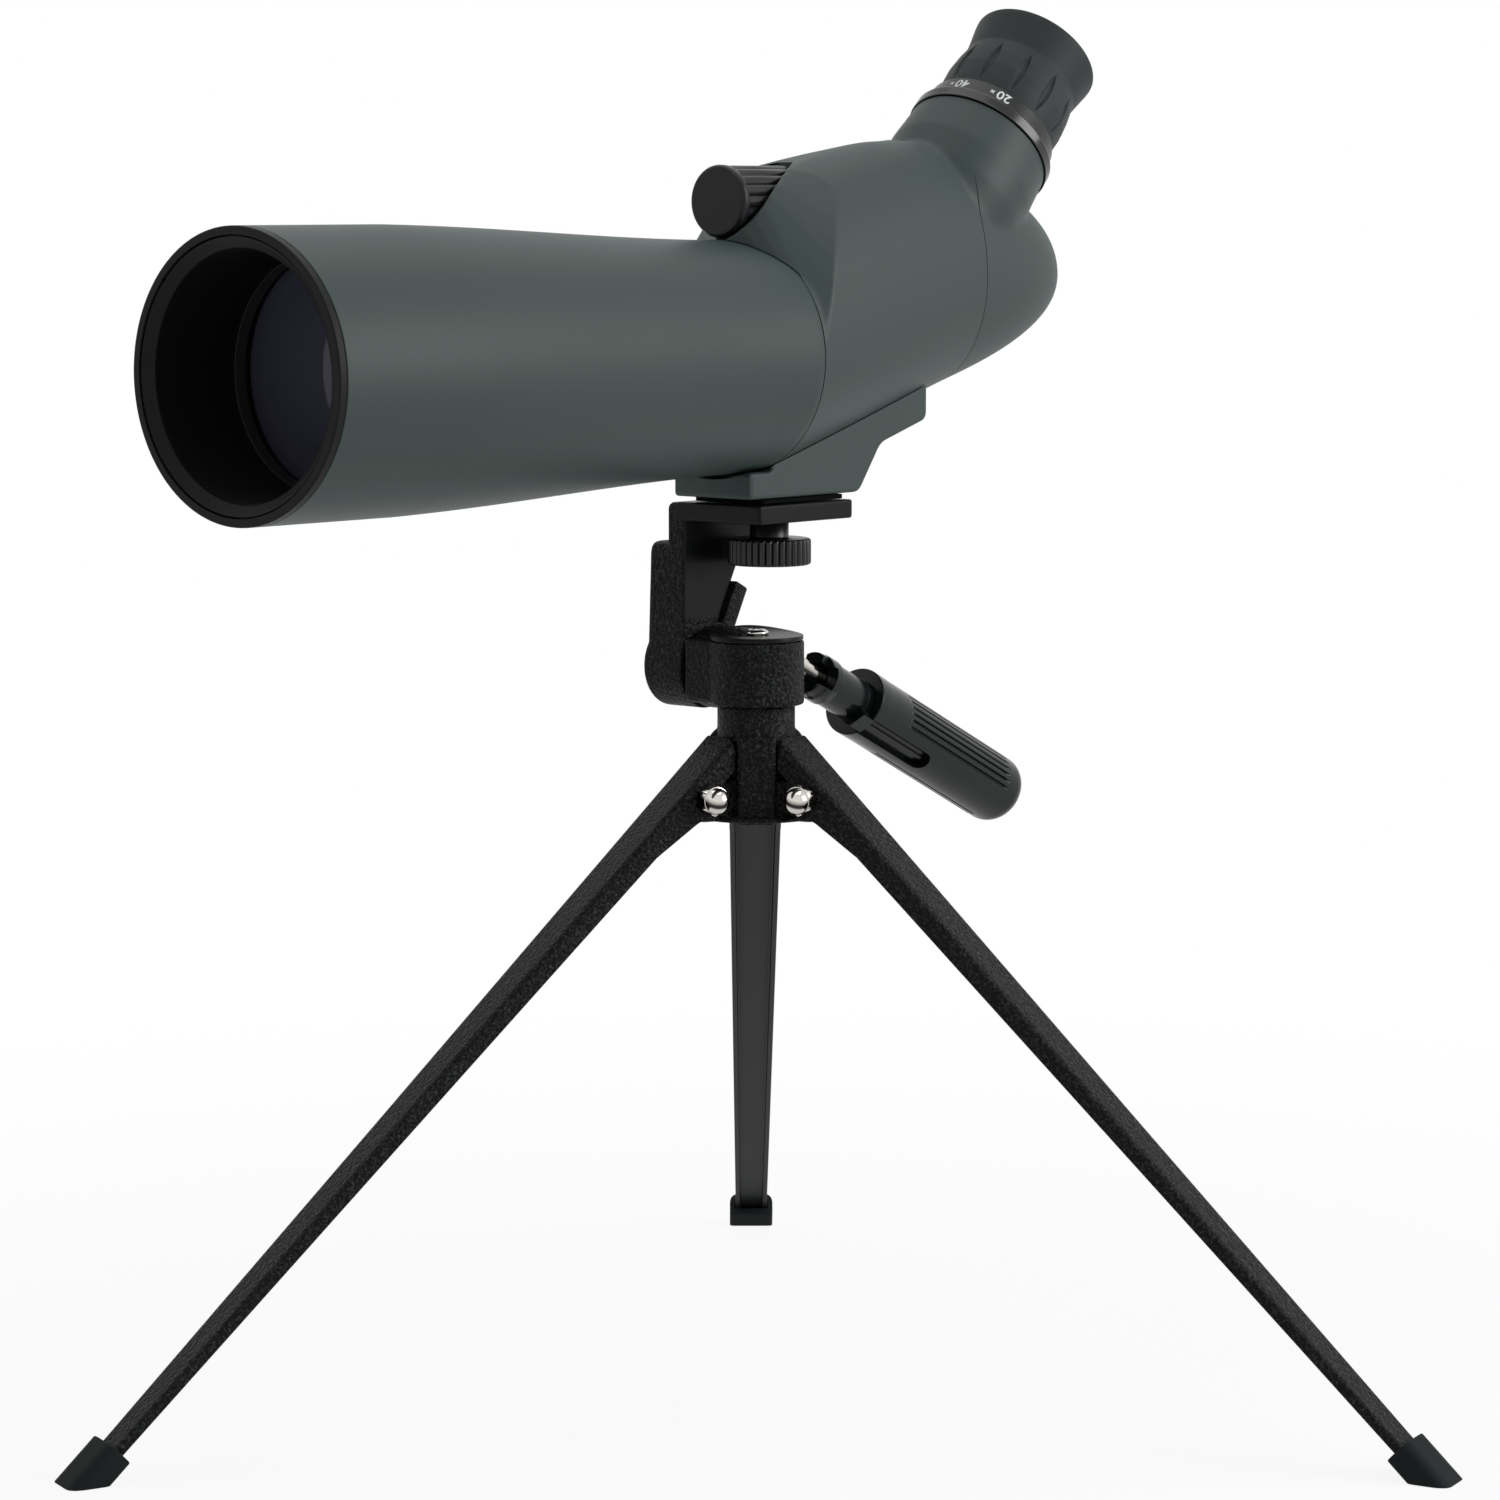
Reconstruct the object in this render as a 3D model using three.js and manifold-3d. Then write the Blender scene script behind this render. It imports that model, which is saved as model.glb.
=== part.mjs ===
// Angled 60 mm zoom spotting scope on a folding table tripod.
// Millimetres, +Z up. The objective looks along -Y, +X is the side to its left, and the
// tripod stands on the plane z = 0. The whole is centred over that plane at the end.
import * as THREE from 'three';
import { mergeVertices } from 'three/addons/utils/BufferGeometryUtils.js';
import Module from 'manifold-3d';

const wasm = await Module();
wasm.setup();

// Clearances and general working values
const gap = 0.3;
const runGap = 0.4;
const overrun = 1.5;
const weld = 1e-4;
const fineSteps = 36;
const midSteps = 24;
const smallSteps = 14;
const bendSteps = 3;
const hexSides = 6;
const hullSteps = 5;
const domeSteps = 8;
const degree = Math.PI / 180;
const turn = 2 * Math.PI;
const fullTurn = 360;

// Where the scope stands over the tripod
const scopeSide = -3.9;
const tripodYaw = 41.1;

// Front tube, measured along the optical axis from the column
const tube = {
  front: -196.9, end: -4.3, frontRadius: 38, endRadius: 33, wall: 2,
  taperStart: -145.5, taperEnd: -20, spigotLength: 8, spigotWall: 1.7,
};

// Black rim at the front of the tube
const rim = { length: 2.4, lipWidth: 2.35, spigotLength: 7, spigotWall: 1.1, edge: 0.5 };

// Hood ring and sleeve inside the rim, back to the lens
const hood = { inset: 5.8, coneDepth: 2.2, recess: 0.5, length: 27.8, wall: 1.5, ringLength: 6 };

// Objective: cell, threaded retainer, two lenses and the spacer between them
const objective = {
  cellLength: 17, cellWall: 4.5, seatWidth: 2.2,
  crownThickness: 7.4, crownEdge: 2.6, flintEdge: 5.2, spacer: 0.6, spacerGap: 0.5,
  spacerWidth: 1.4, retainerLength: 3.2, retainerWidth: 1, flintHollow: 1.4,
};

// Knife-edge baffles in the tube
const baffle = {
  thickness: 1.2, clearance: 0.7, firstPlace: -112, secondPlace: -62, hub: 3,
  firstHoleShare: 0.66, secondHoleShare: 0.53,
};

// Prism housing, an egg section that grows and rises towards the rear seam; the three
// rises are those of its top over the tube's radius
const body = {
  seam: 81, wall: 2.3, endHalfWidth: 23.6, endMiddle: 21.2, bottomSlope: 0.264,
  startRise: 19.5, endRise: 27.5, crestRise: 29.6, crestPlace: 65, lowerUpperEnd: 37.8,
  archInset: 0.4, hollowStart: 23,
};

// Leaning front face of the housing's upper part
const shoulder = {
  footY: -3.8, footHeight: 4, midY: 12.8, midHeight: 38, topY: 21, topHeight: 49, brow: 57, browY: 12,
};

// Rounded nose of the housing that wraps the focus knob
const cowl = {
  frontY: -12.6, frontRadius: 11.6, rearY: 15, rearRadius: 15.5, lipDrop: 10.3, crownRise: 12.3,
};

// Rear cover
const cover = {
  length: 54.3, squareness: 3.3, lipLength: 4.5, lipWall: 1.4, middleEnd: 21.5, upperEnd: 20.8,
};

// Eyepiece, on an axis that leaves the prism centre at 45 degrees
const eye = {
  centreY: 47, angle: 45, neckEnd: 83.2, neckRadius: 22.2, boreRadius: 19.4, boreStart: 32,
  foot: [[20, 50], [22.6, 62], [23.2, 71]],
};
const collar = { length: 3.6, radius: 22.8, edge: 0.7, spigotWall: 3.5, spigotLength: 9 };
const scaleRing = { length: 5, radius: 21.4, topRadius: 20.6 };
const grip = {
  length: 30.6, lowRadius: 18.9, bellyRadius: 19.6, bellyPlace: 9, waistRadius: 18.2, waistPlace: 19.5,
  rimRadius: 19.7, mouthDepth: 4.5, flutes: 12, fluteLength: 11, fluteWidth: 1.5,
  fluteDepth: 1.3, lipThickness: 1.4, fallShare: 0.7, flareShare: 0.6, flarePlaceShare: 0.5,
};
const barrel = { wall: 1.4, startPlace: 62, topRecess: 9.5 };
const eyeLens = { thickness: 5, edge: 2, ringLength: 2.4, ringOpening: 11.6 };
const cell = { length: 5, wall: 1.6, lensEdge: 1.6, lensThickness: 3.6, frontPlace: 70, rearPlace: 91 };

// Focus knob, its screw and the carriage that it drives
const knob = {
  seatGap: 0.5, radius: 10.2, front: -12.4, length: 28.5, edge: 0.8,
  flutes: 18, fluteDepth: 0.6, plainLength: 2.5,
};
const pocket = { clearance: 0.55, wall: 1.7 };
const screw = { radius: 2.2, length: 36, nutLength: 6, collarRadius: 4, collarLength: 2 };
const carriage = {
  lensRadius: 12.4, wall: 2, length: 9, clearance: 1, lensThickness: 4.4, lensEdge: 2.2,
  armWidth: 7, armThickness: 5, travel: 4.5,
};
const prism = { width: 23, length: 20, place: 56, drop: 14.5, rise: 13, seatThickness: 2.4, seatMargin: 2.5 };

// Mounting foot under the housing, with the threaded bush in its sole
const foot = {
  width: 28.6, depth: 39.5, front: -14.8, soleEnd: 33.8, kneeY: 43.8, kneeRise: 13.7,
  backY: 64.8, backRise: 19.9, lipRise: 7.6, notchY: -4.9, saddleGap: 1.2, corner: 1.6,
  bushRadius: 5.2, bushLength: 4.2, bushHole: 3.4, edge: 0.8,
};

// Tripod head: pan body on the column, tilt bracket beside it, platform on top
const pan = {
  radius: 13.7, height: 18.3, earHalf: 11.8, tiltHeight: 9.7, edge: 0.8, lugFoot: 3.2,
};
const lug = { thickness: 5.6, top: 24, inner: 12.9, outer: 20.4, clearance: 0.6, bossRoom: 1 };
const disc = {
  radius: 13.5, thickness: 1.2, screwRadius: 3.6, shankRadius: 1.8, screwHead: 1.5, crossWidth: 1,
  crossReach: 2.2, crossDepth: 0.8,
};
const bracket = {
  frontY: -10.4, topRise: 47.7, plate: 5.4, platformEnd: 31, armThickness: 6.2, bossRadius: 12.2,
  cheek: 7, cheekTop: 36, cheekLeanShare: 0.035, rearTopY: 20, rearLowY: 3.2, rearLowRise: 10.1,
  corner: 2, screwHole: 3.7,
};
const pad = { thickness: 1.3, inset: 2.6, hole: 6 };
const washer = { thickness: 0.6, radius: 9 };
const tiltBolt = { radius: 2.9, headRadius: 5.4, headLength: 2.6, recess: 1.2, hexWidth: 3, hexDepth: 1.5 };
const wheel = {
  radius: 12, height: 7.6, drop: 5.3, neckRadius: 5.6, ridges: 36, ridgeDepth: 0.55, studRadius: 3,
  studRise: 3.6, edge: 0.6,
};
const handle = {
  slope: 26, rodRadius: 3, entry: 18.6, neckStart: 25.1, neckLength: 25.4, neckRadius: 6.6,
  gripRadius: 10.3, gripLength: 77, shoulder: 3, endRound: 6, rodDepth: 26,
  slotWidth: 6, slotLength: 34, slotDepth: 6.2, slotTurn: 115,
  grooves: 6, grooveLength: 56, grooveStart: 9, grooveWidth: 0.8, grooveDepth: 0.7, grooveStep: 11,
  upperTurn: 25, lowerTurn: 190,
  ringPlace: 11.4, ringWidth: 1.2, ringRise: 0.5, pinRadius: 1.6, pinPlace: 16, tipWall: 3, tipGap: 0.6,
};

// Hub of the tripod and its column
const hub = {
  pivotHeight: 173, pivotReach: 20, radius: 11.1, columnRise: 25, baseDrop: 7,
  flange: 1.4, flangeRadius: 17.6, ribWidth: 11, ribReach: 13.6, ribRise: 17, lugEnd: 4.5,
  spindleRadius: 5, footRise: 4, footRadius: 11.8,
};

// Legs, folded sheet channels open inwards, pinned between two ears
const leg = {
  splay: 46.92, count: 3, headLength: 17, rise: 3.1,
  topWidth: 15.9, endWidth: 10.6, topDepth: 6.9, endDepth: 3,
  sheet: 1.5, earRadius: 5.8, earBack: 9.4, earFoot: 3.5, earLift: 2.9, earEnd: 24, taperLength: 250,
  corner: 3, boltRadius: 1.9,
};
const bolt = { headRadius: 3.4, headTop: 2.4, headLength: 2.2, endLength: 3.4 };
const nut = { flats: 8, height: 4, domeRadius: 3.7, domeHeight: 3.8 };
const shoe = { width: 14.2, under: 2.6, over: 2.9, length: 12, wallEnd: 3.4, lowCorner: 1.5, topCorner: 7 };

// Colours, roughness and metalness as they show
const paints = {
  green: ['#46524e', 0.5, 0.1], black: ['#17181a', 0.45, 0], satinBlack: ['#1d1e20', 0.4, 0.1],
  rubber: ['#222427', 0.75, 0], wrinkle: ['#141516', 0.6, 0.3], chrome: ['#c9ccce', 0.15, 1],
  steel: ['#9a9da0', 0.35, 1], brass: ['#b08d4a', 0.35, 1],
  glass: ['#2a2a3c', 0.05, 0], matt: ['#0b0b0c', 0.9, 0],
};
const glassOpacity = 0.6;

// A closed solid from a three.js geometry, with faces turned outwards
function solidFrom(geometry) {
  const bare = geometry.index ? geometry.toNonIndexed() : geometry.clone();
  for (const extra of ['normal', 'uv']) bare.deleteAttribute(extra);
  const merged = mergeVertices(bare, weld);
  const place = merged.attributes.position.array;
  const index = merged.index.array;
  const corners = [];
  let volume = 0;
  const a = new THREE.Vector3();
  const b = new THREE.Vector3();
  const c = new THREE.Vector3();
  for (let i = 0; i < index.length; i += 3) {
    const [p, q, r] = [index[i], index[i + 1], index[i + 2]];
    if (p === q || q === r || r === p) continue;
    corners.push(p, q, r);
    volume += a.fromArray(place, 3 * p).dot(b.fromArray(place, 3 * q).cross(c.fromArray(place, 3 * r)));
  }
  if (volume < 0) corners.reverse();
  const mesh = new wasm.Mesh({
    numProp: 3, vertProperties: Float32Array.from(place), triVerts: Uint32Array.from(corners),
  });
  mesh.merge();
  return new wasm.Manifold(mesh);
}

// A three.js geometry from a solid
function geometryFrom(solid) {
  const { vertProperties, triVerts } = solid.getMesh();
  const geometry = new THREE.BufferGeometry();
  geometry.setAttribute('position', new THREE.BufferAttribute(Float32Array.from(vertProperties), 3));
  geometry.setIndex(new THREE.BufferAttribute(Uint32Array.from(triVerts), 1));
  geometry.computeVertexNormals();
  return geometry;
}

function piece(name, solid, paint) {
  const [color, roughness, metalness] = paints[paint];
  const glassy = paint === 'glass';
  const material = new THREE.MeshStandardMaterial({
    color, roughness, metalness, transparent: glassy, opacity: glassy ? glassOpacity : 1,
  });
  const mesh = new THREE.Mesh(geometryFrom(solid), material);
  mesh.name = name;
  return mesh;
}

// Moves a solid by a matrix made from a place and turns in degrees
function placed(solid, at = [0, 0, 0], turns = [0, 0, 0]) {
  const turned = new THREE.Euler(turns[0] * degree, turns[1] * degree, turns[2] * degree, 'XYZ');
  const matrix = new THREE.Matrix4().makeRotationFromEuler(turned).setPosition(...at);
  return solid.transform(matrix.elements);
}

// Turned about Y: pairs of radius and place, closed on the axis or on itself
function turned(profile, steps = fineSteps) {
  const points = [...profile, profile[0]].map(([radius, along]) => new THREE.Vector2(radius, along));
  return solidFrom(new THREE.LatheGeometry(points, steps));
}

function ring(outer, inner, from, to, steps = fineSteps) {
  return turned([[inner, from], [outer, from], [outer, to], [inner, to]], steps);
}

function rod(radius, from, to, steps = midSteps) {
  return turned([[0, from], [radius, from], [radius, to], [0, to]], steps);
}

// Turned about Z instead
const upright = (solid) => placed(solid, [0, 0, 0], [90, 0, 0]);
const acrossX = (solid) => placed(solid, [0, 0, 0], [0, 0, -90]);

// An outline moved inwards by a distance
function insetOutline(corners, inset) {
  const points = corners.map(([x, y]) => new THREE.Vector2(x, y));
  const side = Math.sign(THREE.ShapeUtils.area(points)) * inset;
  return points.map((corner, i) => {
    const before = points[(i + points.length - 1) % points.length];
    const after = points[(i + 1) % points.length];
    const arriving = corner.clone().sub(before).normalize();
    const leaving = after.clone().sub(corner).normalize();
    const inwards = new THREE.Vector2(-arriving.y - leaving.y, arriving.x + leaving.x);
    return corner.clone().addScaledVector(inwards, side / (1 + arriving.dot(leaving)));
  });
}

// An outline with its corners rounded, by one radius or by a radius for each corner
function roundedOutline(points, radius) {
  const wanted = points.map((_, i) => (Array.isArray(radius) ? radius[i] : radius));
  const outline = [];
  points.forEach((corner, i) => {
    if (wanted[i] === 0) {
      outline.push(corner);
      return;
    }
    const [before, after] = [(i + points.length - 1) % points.length, (i + 1) % points.length];
    const room = (other) => corner.distanceTo(points[other]) * wanted[i] / (wanted[i] + wanted[other]);
    const cut = Math.min(wanted[i], room(before), room(after));
    const into = corner.clone().lerp(points[before], cut / corner.distanceTo(points[before]));
    const out = corner.clone().lerp(points[after], cut / corner.distanceTo(points[after]));
    outline.push(...new THREE.QuadraticBezierCurve(into, corner, out).getPoints(bendSteps));
  });
  return outline;
}

// A plate of an outline, its two rims eased, given a way to stand each point up
function plate(corners, radius, from, to, ease, stand) {
  const rims = ease > 0 ? [[from, ease], [from + ease, 0], [to - ease, 0], [to, ease]] : [[from, 0], [to, 0]];
  return lofted(rims.map(([place, inset]) => (
    roundedOutline(insetOutline(corners, inset), radius).map(({ x, y }) => stand(x, y, place)))));
}

// Outline in X and Y, rising along Z
function plateUp(corners, radius, from, to, ease = 0) {
  return plate(corners, radius, from, to, ease, (x, y, z) => [x, y, z]);
}

// Outline in Y and Z, running along X
function plateAlongX(corners, radius, from, to, ease = 0) {
  return plate(corners, radius, from, to, ease, (y, z, x) => [x, y, z]);
}

function block(low, high) {
  const size = high.map((value, i) => value - low[i]);
  const geometry = new THREE.BoxGeometry(...size);
  geometry.translate(...high.map((value, i) => (value + low[i]) / 2));
  return solidFrom(geometry);
}

// Faces that close a flat section
function capFaces(section) {
  const spans = [0, 1, 2].map((axis) => {
    const along = section.map((point) => point[axis]);
    return Math.max(...along) - Math.min(...along);
  });
  const flat = spans.indexOf(Math.min(...spans));
  const [u, v] = [0, 1, 2].filter((axis) => axis !== flat);
  return THREE.ShapeUtils.triangulateShape(section.map((point) => new THREE.Vector2(point[u], point[v])), []);
}

// A solid through a row of closed flat sections, each a ring of equal count
function lofted(sections) {
  const count = sections[0].length;
  const faces = [];
  for (let i = 0; i + 1 < sections.length; i += 1) {
    for (let j = 0; j < count; j += 1) {
      const k = (j + 1) % count;
      const [a, b] = [i * count + j, i * count + k];
      faces.push(a, b, a + count, b, b + count, a + count);
    }
  }
  const cap = capFaces(sections[0]);
  const last = (sections.length - 1) * count;
  const firstUses = new Set(cap.map(([a, b, c]) => `${a},${b} ${b},${c} ${c},${a}`).join(' ').split(' '));
  const turnedOver = firstUses.has('0,1');
  for (const [a, b, c] of cap) {
    if (turnedOver) faces.push(a, c, b, last + a, last + b, last + c);
    else faces.push(a, b, c, last + a, last + c, last + b);
  }
  const geometry = new THREE.BufferGeometry();
  geometry.setAttribute('position', new THREE.Float32BufferAttribute(sections.flat(2), 3));
  geometry.setIndex(faces);
  return solidFrom(geometry);
}

const mix = (from, to, share) => from + (to - from) * share;
const clampShare = (share) => Math.min(1, Math.max(0, share));

// Values of the housing's section at a place along the axis
function eggAt(y) {
  const share = (y - tube.end) / (body.seam - tube.end);
  const risingShare = clampShare((y - tube.end) / (body.crestPlace - tube.end));
  const fallingShare = clampShare((y - body.crestPlace) / (body.seam - body.crestPlace));
  return {
    halfWidth: mix(tube.endRadius, body.endHalfWidth, share),
    middle: mix(0, body.endMiddle, share),
    bottom: -tube.endRadius + body.bottomSlope * (y - tube.end),
    lowTop: mix(tube.endRadius, body.endMiddle + body.lowerUpperEnd, share),
    highTop: tube.endRadius + (fallingShare > 0
      ? mix(body.crestRise, body.endRise, fallingShare) : mix(body.startRise, body.crestRise, risingShare)),
  };
}

// One section: lower and upper half ellipses that share their widest line
function eggSection(y, top, inset) {
  const egg = eggAt(y);
  const points = [];
  for (let i = 0; i < fineSteps; i += 1) {
    const angle = turn * i / fineSteps;
    const half = Math.sin(angle) > 0 ? top - egg.middle : egg.middle - egg.bottom;
    const across = (egg.halfWidth - inset) * Math.cos(angle);
    points.push([across, y, egg.middle + (half - inset) * Math.sin(angle)]);
  }
  return points;
}

function placesAlong(from, to, count) {
  return Array.from({ length: count + 1 }, (_, i) => mix(from, to, i / count));
}

function lowerHull(from, to, inset) {
  return lofted(placesAlong(from, to, bendSteps).map((y) => eggSection(y, eggAt(y).lowTop, inset)));
}

function upperHull(from, to, inset) {
  return lofted(placesAlong(from, to, hullSteps).map((y) => eggSection(y, eggAt(y).highTop, inset)));
}

// Tube radius: straight, an eased taper, then straight again
function tubeRadius(y) {
  const share = clampShare((y - tube.taperStart) / (tube.taperEnd - tube.taperStart));
  const eased = (share + (1 - Math.cos(Math.PI * share)) / 2) / 2;
  return mix(tube.frontRadius, tube.endRadius, eased);
}

const tubeStart = tube.front + rim.length + gap;
const ringBore = tube.frontRadius - tube.wall - gap;
const hoodRadius = tube.frontRadius - hood.inset;
const lensRadius = ringBore - objective.cellWall - gap;
const cellStart = tube.front + hood.recess + hood.length + gap;
const housingStart = tube.end + gap;
const spigotOuter = tube.endRadius - body.wall - gap;
const knobHeight = tube.endRadius + knob.seatGap + knob.radius;
const pocketRadius = knob.radius + pocket.clearance;

function makeFrontTube() {
  const bore = tube.frontRadius - tube.wall;
  const outer = [[tube.frontRadius, tubeStart]];
  const spigotEnd = tube.end + tube.spigotLength;
  for (const y of placesAlong(tube.taperStart, tube.taperEnd, hullSteps)) {
    outer.push([tubeRadius(y), y]);
  }
  outer.push([tube.endRadius, tube.end], [spigotOuter, tube.end], [spigotOuter, spigotEnd]);
  const inner = [[spigotOuter - tube.spigotWall, spigotEnd]];
  for (const y of placesAlong(tube.taperEnd, tube.taperStart, bendSteps)) {
    inner.push([tubeRadius(y) - tube.wall, y]);
  }
  inner.push([bore, tubeStart]);
  return turned([...outer, ...inner]);
}

function makeObjectiveRing() {
  const { front, frontRadius } = tube;
  const inside = frontRadius - rim.lipWidth;
  const back = front + rim.length;
  const core = ringBore - rim.spigotWall;
  return turned([
    [inside, front], [frontRadius - rim.edge, front], [frontRadius, front + rim.edge],
    [frontRadius, back], [ringBore, back], [ringBore, back + rim.spigotLength],
    [core, back + rim.spigotLength], [core, front + hood.coneDepth], [inside, front + hood.coneDepth],
  ]);
}

function makeHood() {
  const outside = ringBore - rim.spigotWall - gap;
  const start = tube.front + hood.recess;
  const [ringEnd, end] = [start + hood.ringLength, start + hood.length];
  const sleeve = hoodRadius + hood.wall;
  return turned([
    [outside, start], [hoodRadius, start + hood.coneDepth], [hoodRadius, end],
    [sleeve, end], [sleeve, ringEnd], [outside, ringEnd],
  ]);
}

// Objective stack, from the retainer back to the seat of the cell
const retainerStart = cellStart;
const crownStart = retainerStart + objective.retainerLength + gap;
const crownSag = (objective.crownThickness - objective.crownEdge) / 2;
const spacerStart = crownStart + crownSag + objective.crownEdge + objective.spacerGap;
const flintStart = spacerStart + objective.spacer + gap;

function makeLensCell() {
  const bore = lensRadius + gap;
  const seatRadius = bore - objective.seatWidth;
  const seat = flintStart + objective.flintEdge + gap;
  const end = cellStart + objective.cellLength;
  return turned([
    [bore, cellStart], [ringBore, cellStart], [ringBore, end], [seatRadius, end],
    [seatRadius, seat], [bore, seat],
  ]);
}

function makeRetainer() {
  const opening = lensRadius - objective.retainerWidth;
  const back = retainerStart + objective.retainerLength;
  return turned([
    [opening, back], [lensRadius, back], [lensRadius, retainerStart],
    [opening + objective.retainerWidth / 2, retainerStart],
  ]);
}

// A lens turned about Y, with the sag of each face; a positive sag bulges outwards
function lens(radius, from, to, sagFront, sagBack, steps = midSteps) {
  const rings = bendSteps;
  const profile = [];
  for (let i = 0; i <= rings; i += 1) {
    const share = i / rings;
    profile.push([radius * share, from - sagFront * (1 - share * share)]);
  }
  for (let i = rings; i >= 0; i -= 1) {
    const share = i / rings;
    profile.push([radius * share, to + sagBack * (1 - share * share)]);
  }
  return turned(profile, steps);
}

function makeObjectiveLenses() {
  const { spacerWidth, spacer: thickness, crownEdge, flintEdge, flintHollow } = objective;
  const crownRim = crownStart + crownSag;
  const crown = lens(lensRadius, crownRim, crownRim + crownEdge, crownSag, crownSag, fineSteps);
  const spacer = ring(lensRadius, lensRadius - spacerWidth, spacerStart, spacerStart + thickness);
  const hollow = crownSag + gap - thickness;
  const flint = lens(lensRadius, flintStart, flintStart + flintEdge, -hollow, -flintHollow, fineSteps);
  return { crown, spacer, flint };
}

function makeBaffle(y, hole) {
  const outer = tubeRadius(y) - tube.wall - baffle.clearance;
  const back = y + baffle.thickness;
  return turned([
    [hole, y], [outer, y - baffle.hub], [outer, back], [outer - baffle.thickness, back],
    [hole + baffle.thickness, back],
  ]);
}

// Cutter that takes away the housing's front above its leaning face
function shoulderCutter() {
  const reach = 2 * tube.endRadius;
  return plateAlongX([
    [shoulder.footY - reach, shoulder.footHeight], [shoulder.footY, shoulder.footHeight],
    [shoulder.midY, shoulder.midHeight], [shoulder.topY, shoulder.topHeight],
    [shoulder.topY - overrun, tube.endRadius + body.startRise],
    [shoulder.browY, shoulder.brow], [shoulder.browY, shoulder.brow + reach],
    [shoulder.footY - reach, shoulder.brow + reach],
  ], 0, -reach, reach);
}

function makeCowl() {
  const profile = [[0, cowl.frontY]];
  for (let i = 0; i <= hullSteps; i += 1) {
    const share = i / hullSteps;
    const radius = mix(cowl.frontRadius, cowl.rearRadius, share * share);
    profile.push([radius, mix(cowl.frontY, cowl.rearY, share)]);
  }
  profile.push([0, cowl.rearY]);
  const nacelle = placed(turned(profile, midSteps), [0, 0, knobHeight]);
  const reach = 2 * tube.endRadius;
  const [lip, crown] = [knobHeight - cowl.lipDrop, knobHeight + cowl.crownRise];
  const slant = plateAlongX([
    [cowl.frontY, lip], [knob.front / 2, knobHeight + overrun], [cowl.rearY, crown - overrun],
    [cowl.rearY, crown + reach], [cowl.frontY - reach, crown + reach], [cowl.frontY - reach, lip],
  ], 0, -reach, reach);
  const tubeRoom = rod(tube.endRadius + gap, cowl.frontY - overrun, housingStart, fineSteps);
  const belowKnob = block([-reach, cowl.frontY - overrun, -reach],
    [reach, cowl.rearY + overrun, tube.endRadius / 2]);
  return nacelle.subtract(slant).subtract(tubeRoom).subtract(belowKnob);
}

// Solids about the eyepiece axis are turned about Y first, then leaned back
const leaned = (solid) => placed(solid, [0, eye.centreY, 0], [eye.angle, 0, 0]);

// Neck of the eyepiece, the part of it on one side of the rear seam
function makeNeck(from, to) {
  const reach = 2 * eye.neckEnd;
  const end = [[eye.neckRadius, eye.neckEnd], [0, eye.neckEnd]];
  const neck = leaned(turned([[0, eye.foot[0][1]], ...eye.foot, ...end]));
  return neck.intersect(block([-reach, from, -reach], [reach, to, reach]));
}

const makeEyeBore = () => leaned(rod(eye.boreRadius, eye.boreStart, eye.neckEnd + overrun, fineSteps));

function makeHousing() {
  const lower = lowerHull(housingStart, body.seam, 0);
  const upper = upperHull(housingStart, body.seam, body.archInset).subtract(shoulderCutter());
  const shell = lower.add(upper).add(makeCowl()).add(makeNeck(housingStart, body.seam));
  const knobPocket = rod(pocketRadius, cowl.frontY - overrun, knob.front + knob.length + runGap + knob.edge);
  const pocketSkin = rod(pocketRadius + pocket.wall, cowl.frontY - overrun,
    knob.front + knob.length + pocket.wall + knob.edge);
  const hollow = lowerHull(housingStart - overrun, body.seam + overrun, body.wall)
    .subtract(placed(pocketSkin, [0, 0, knobHeight]))
    .add(upperHull(body.hollowStart, body.seam + overrun, body.wall + body.archInset));
  const bore = rod(tube.endRadius - body.wall, housingStart - overrun,
    housingStart + tube.spigotLength, fineSteps);
  const screwHole = placed(rod(screw.radius + gap, 0, body.seam, smallSteps), [0, 0, knobHeight]);
  return shell.subtract(placed(knobPocket, [0, 0, knobHeight])).subtract(hollow).subtract(bore)
    .subtract(makeEyeBore()).subtract(screwHole);
}

// Rear cover: the egg section closed down to a dome
function coverSection(y, inset) {
  const depth = clampShare((y - body.seam) / (cover.length - inset));
  const scale = Math.max((1 - depth ** cover.squareness) ** (1 / cover.squareness), weld);
  const egg = eggAt(y);
  const middle = mix(body.endMiddle, cover.middleEnd, depth);
  const upper = mix(body.lowerUpperEnd, cover.upperEnd, depth);
  const points = [];
  for (let i = 0; i < fineSteps; i += 1) {
    const angle = turn * i / fineSteps;
    const half = Math.sin(angle) > 0 ? upper : middle - egg.bottom;
    const across = (egg.halfWidth - inset) * scale * Math.cos(angle);
    points.push([across, y, middle + (half - inset) * scale * Math.sin(angle)]);
  }
  return points;
}

function coverHull(inset, from) {
  const end = body.seam + cover.length - inset;
  const places = placesAlong(0, 1, domeSteps).map((share) => mix(from, end, Math.sin(share * Math.PI / 2)));
  return lofted(places.map((y) => coverSection(Math.min(y, end - weld), inset)));
}

function makeRearCover() {
  const start = body.seam + gap;
  const lipInset = body.wall + gap;
  const lip = lowerHull(body.seam - cover.lipLength, start + overrun, lipInset);
  const outer = coverHull(0, start).add(lip).add(makeNeck(start, 2 * eye.neckEnd));
  const web = start + cover.lipWall;
  const hollow = coverHull(body.wall, web)
    .add(lowerHull(body.seam - cover.lipLength - overrun, web + overrun, lipInset + cover.lipWall));
  return outer.subtract(hollow).subtract(makeEyeBore());
}

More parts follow.
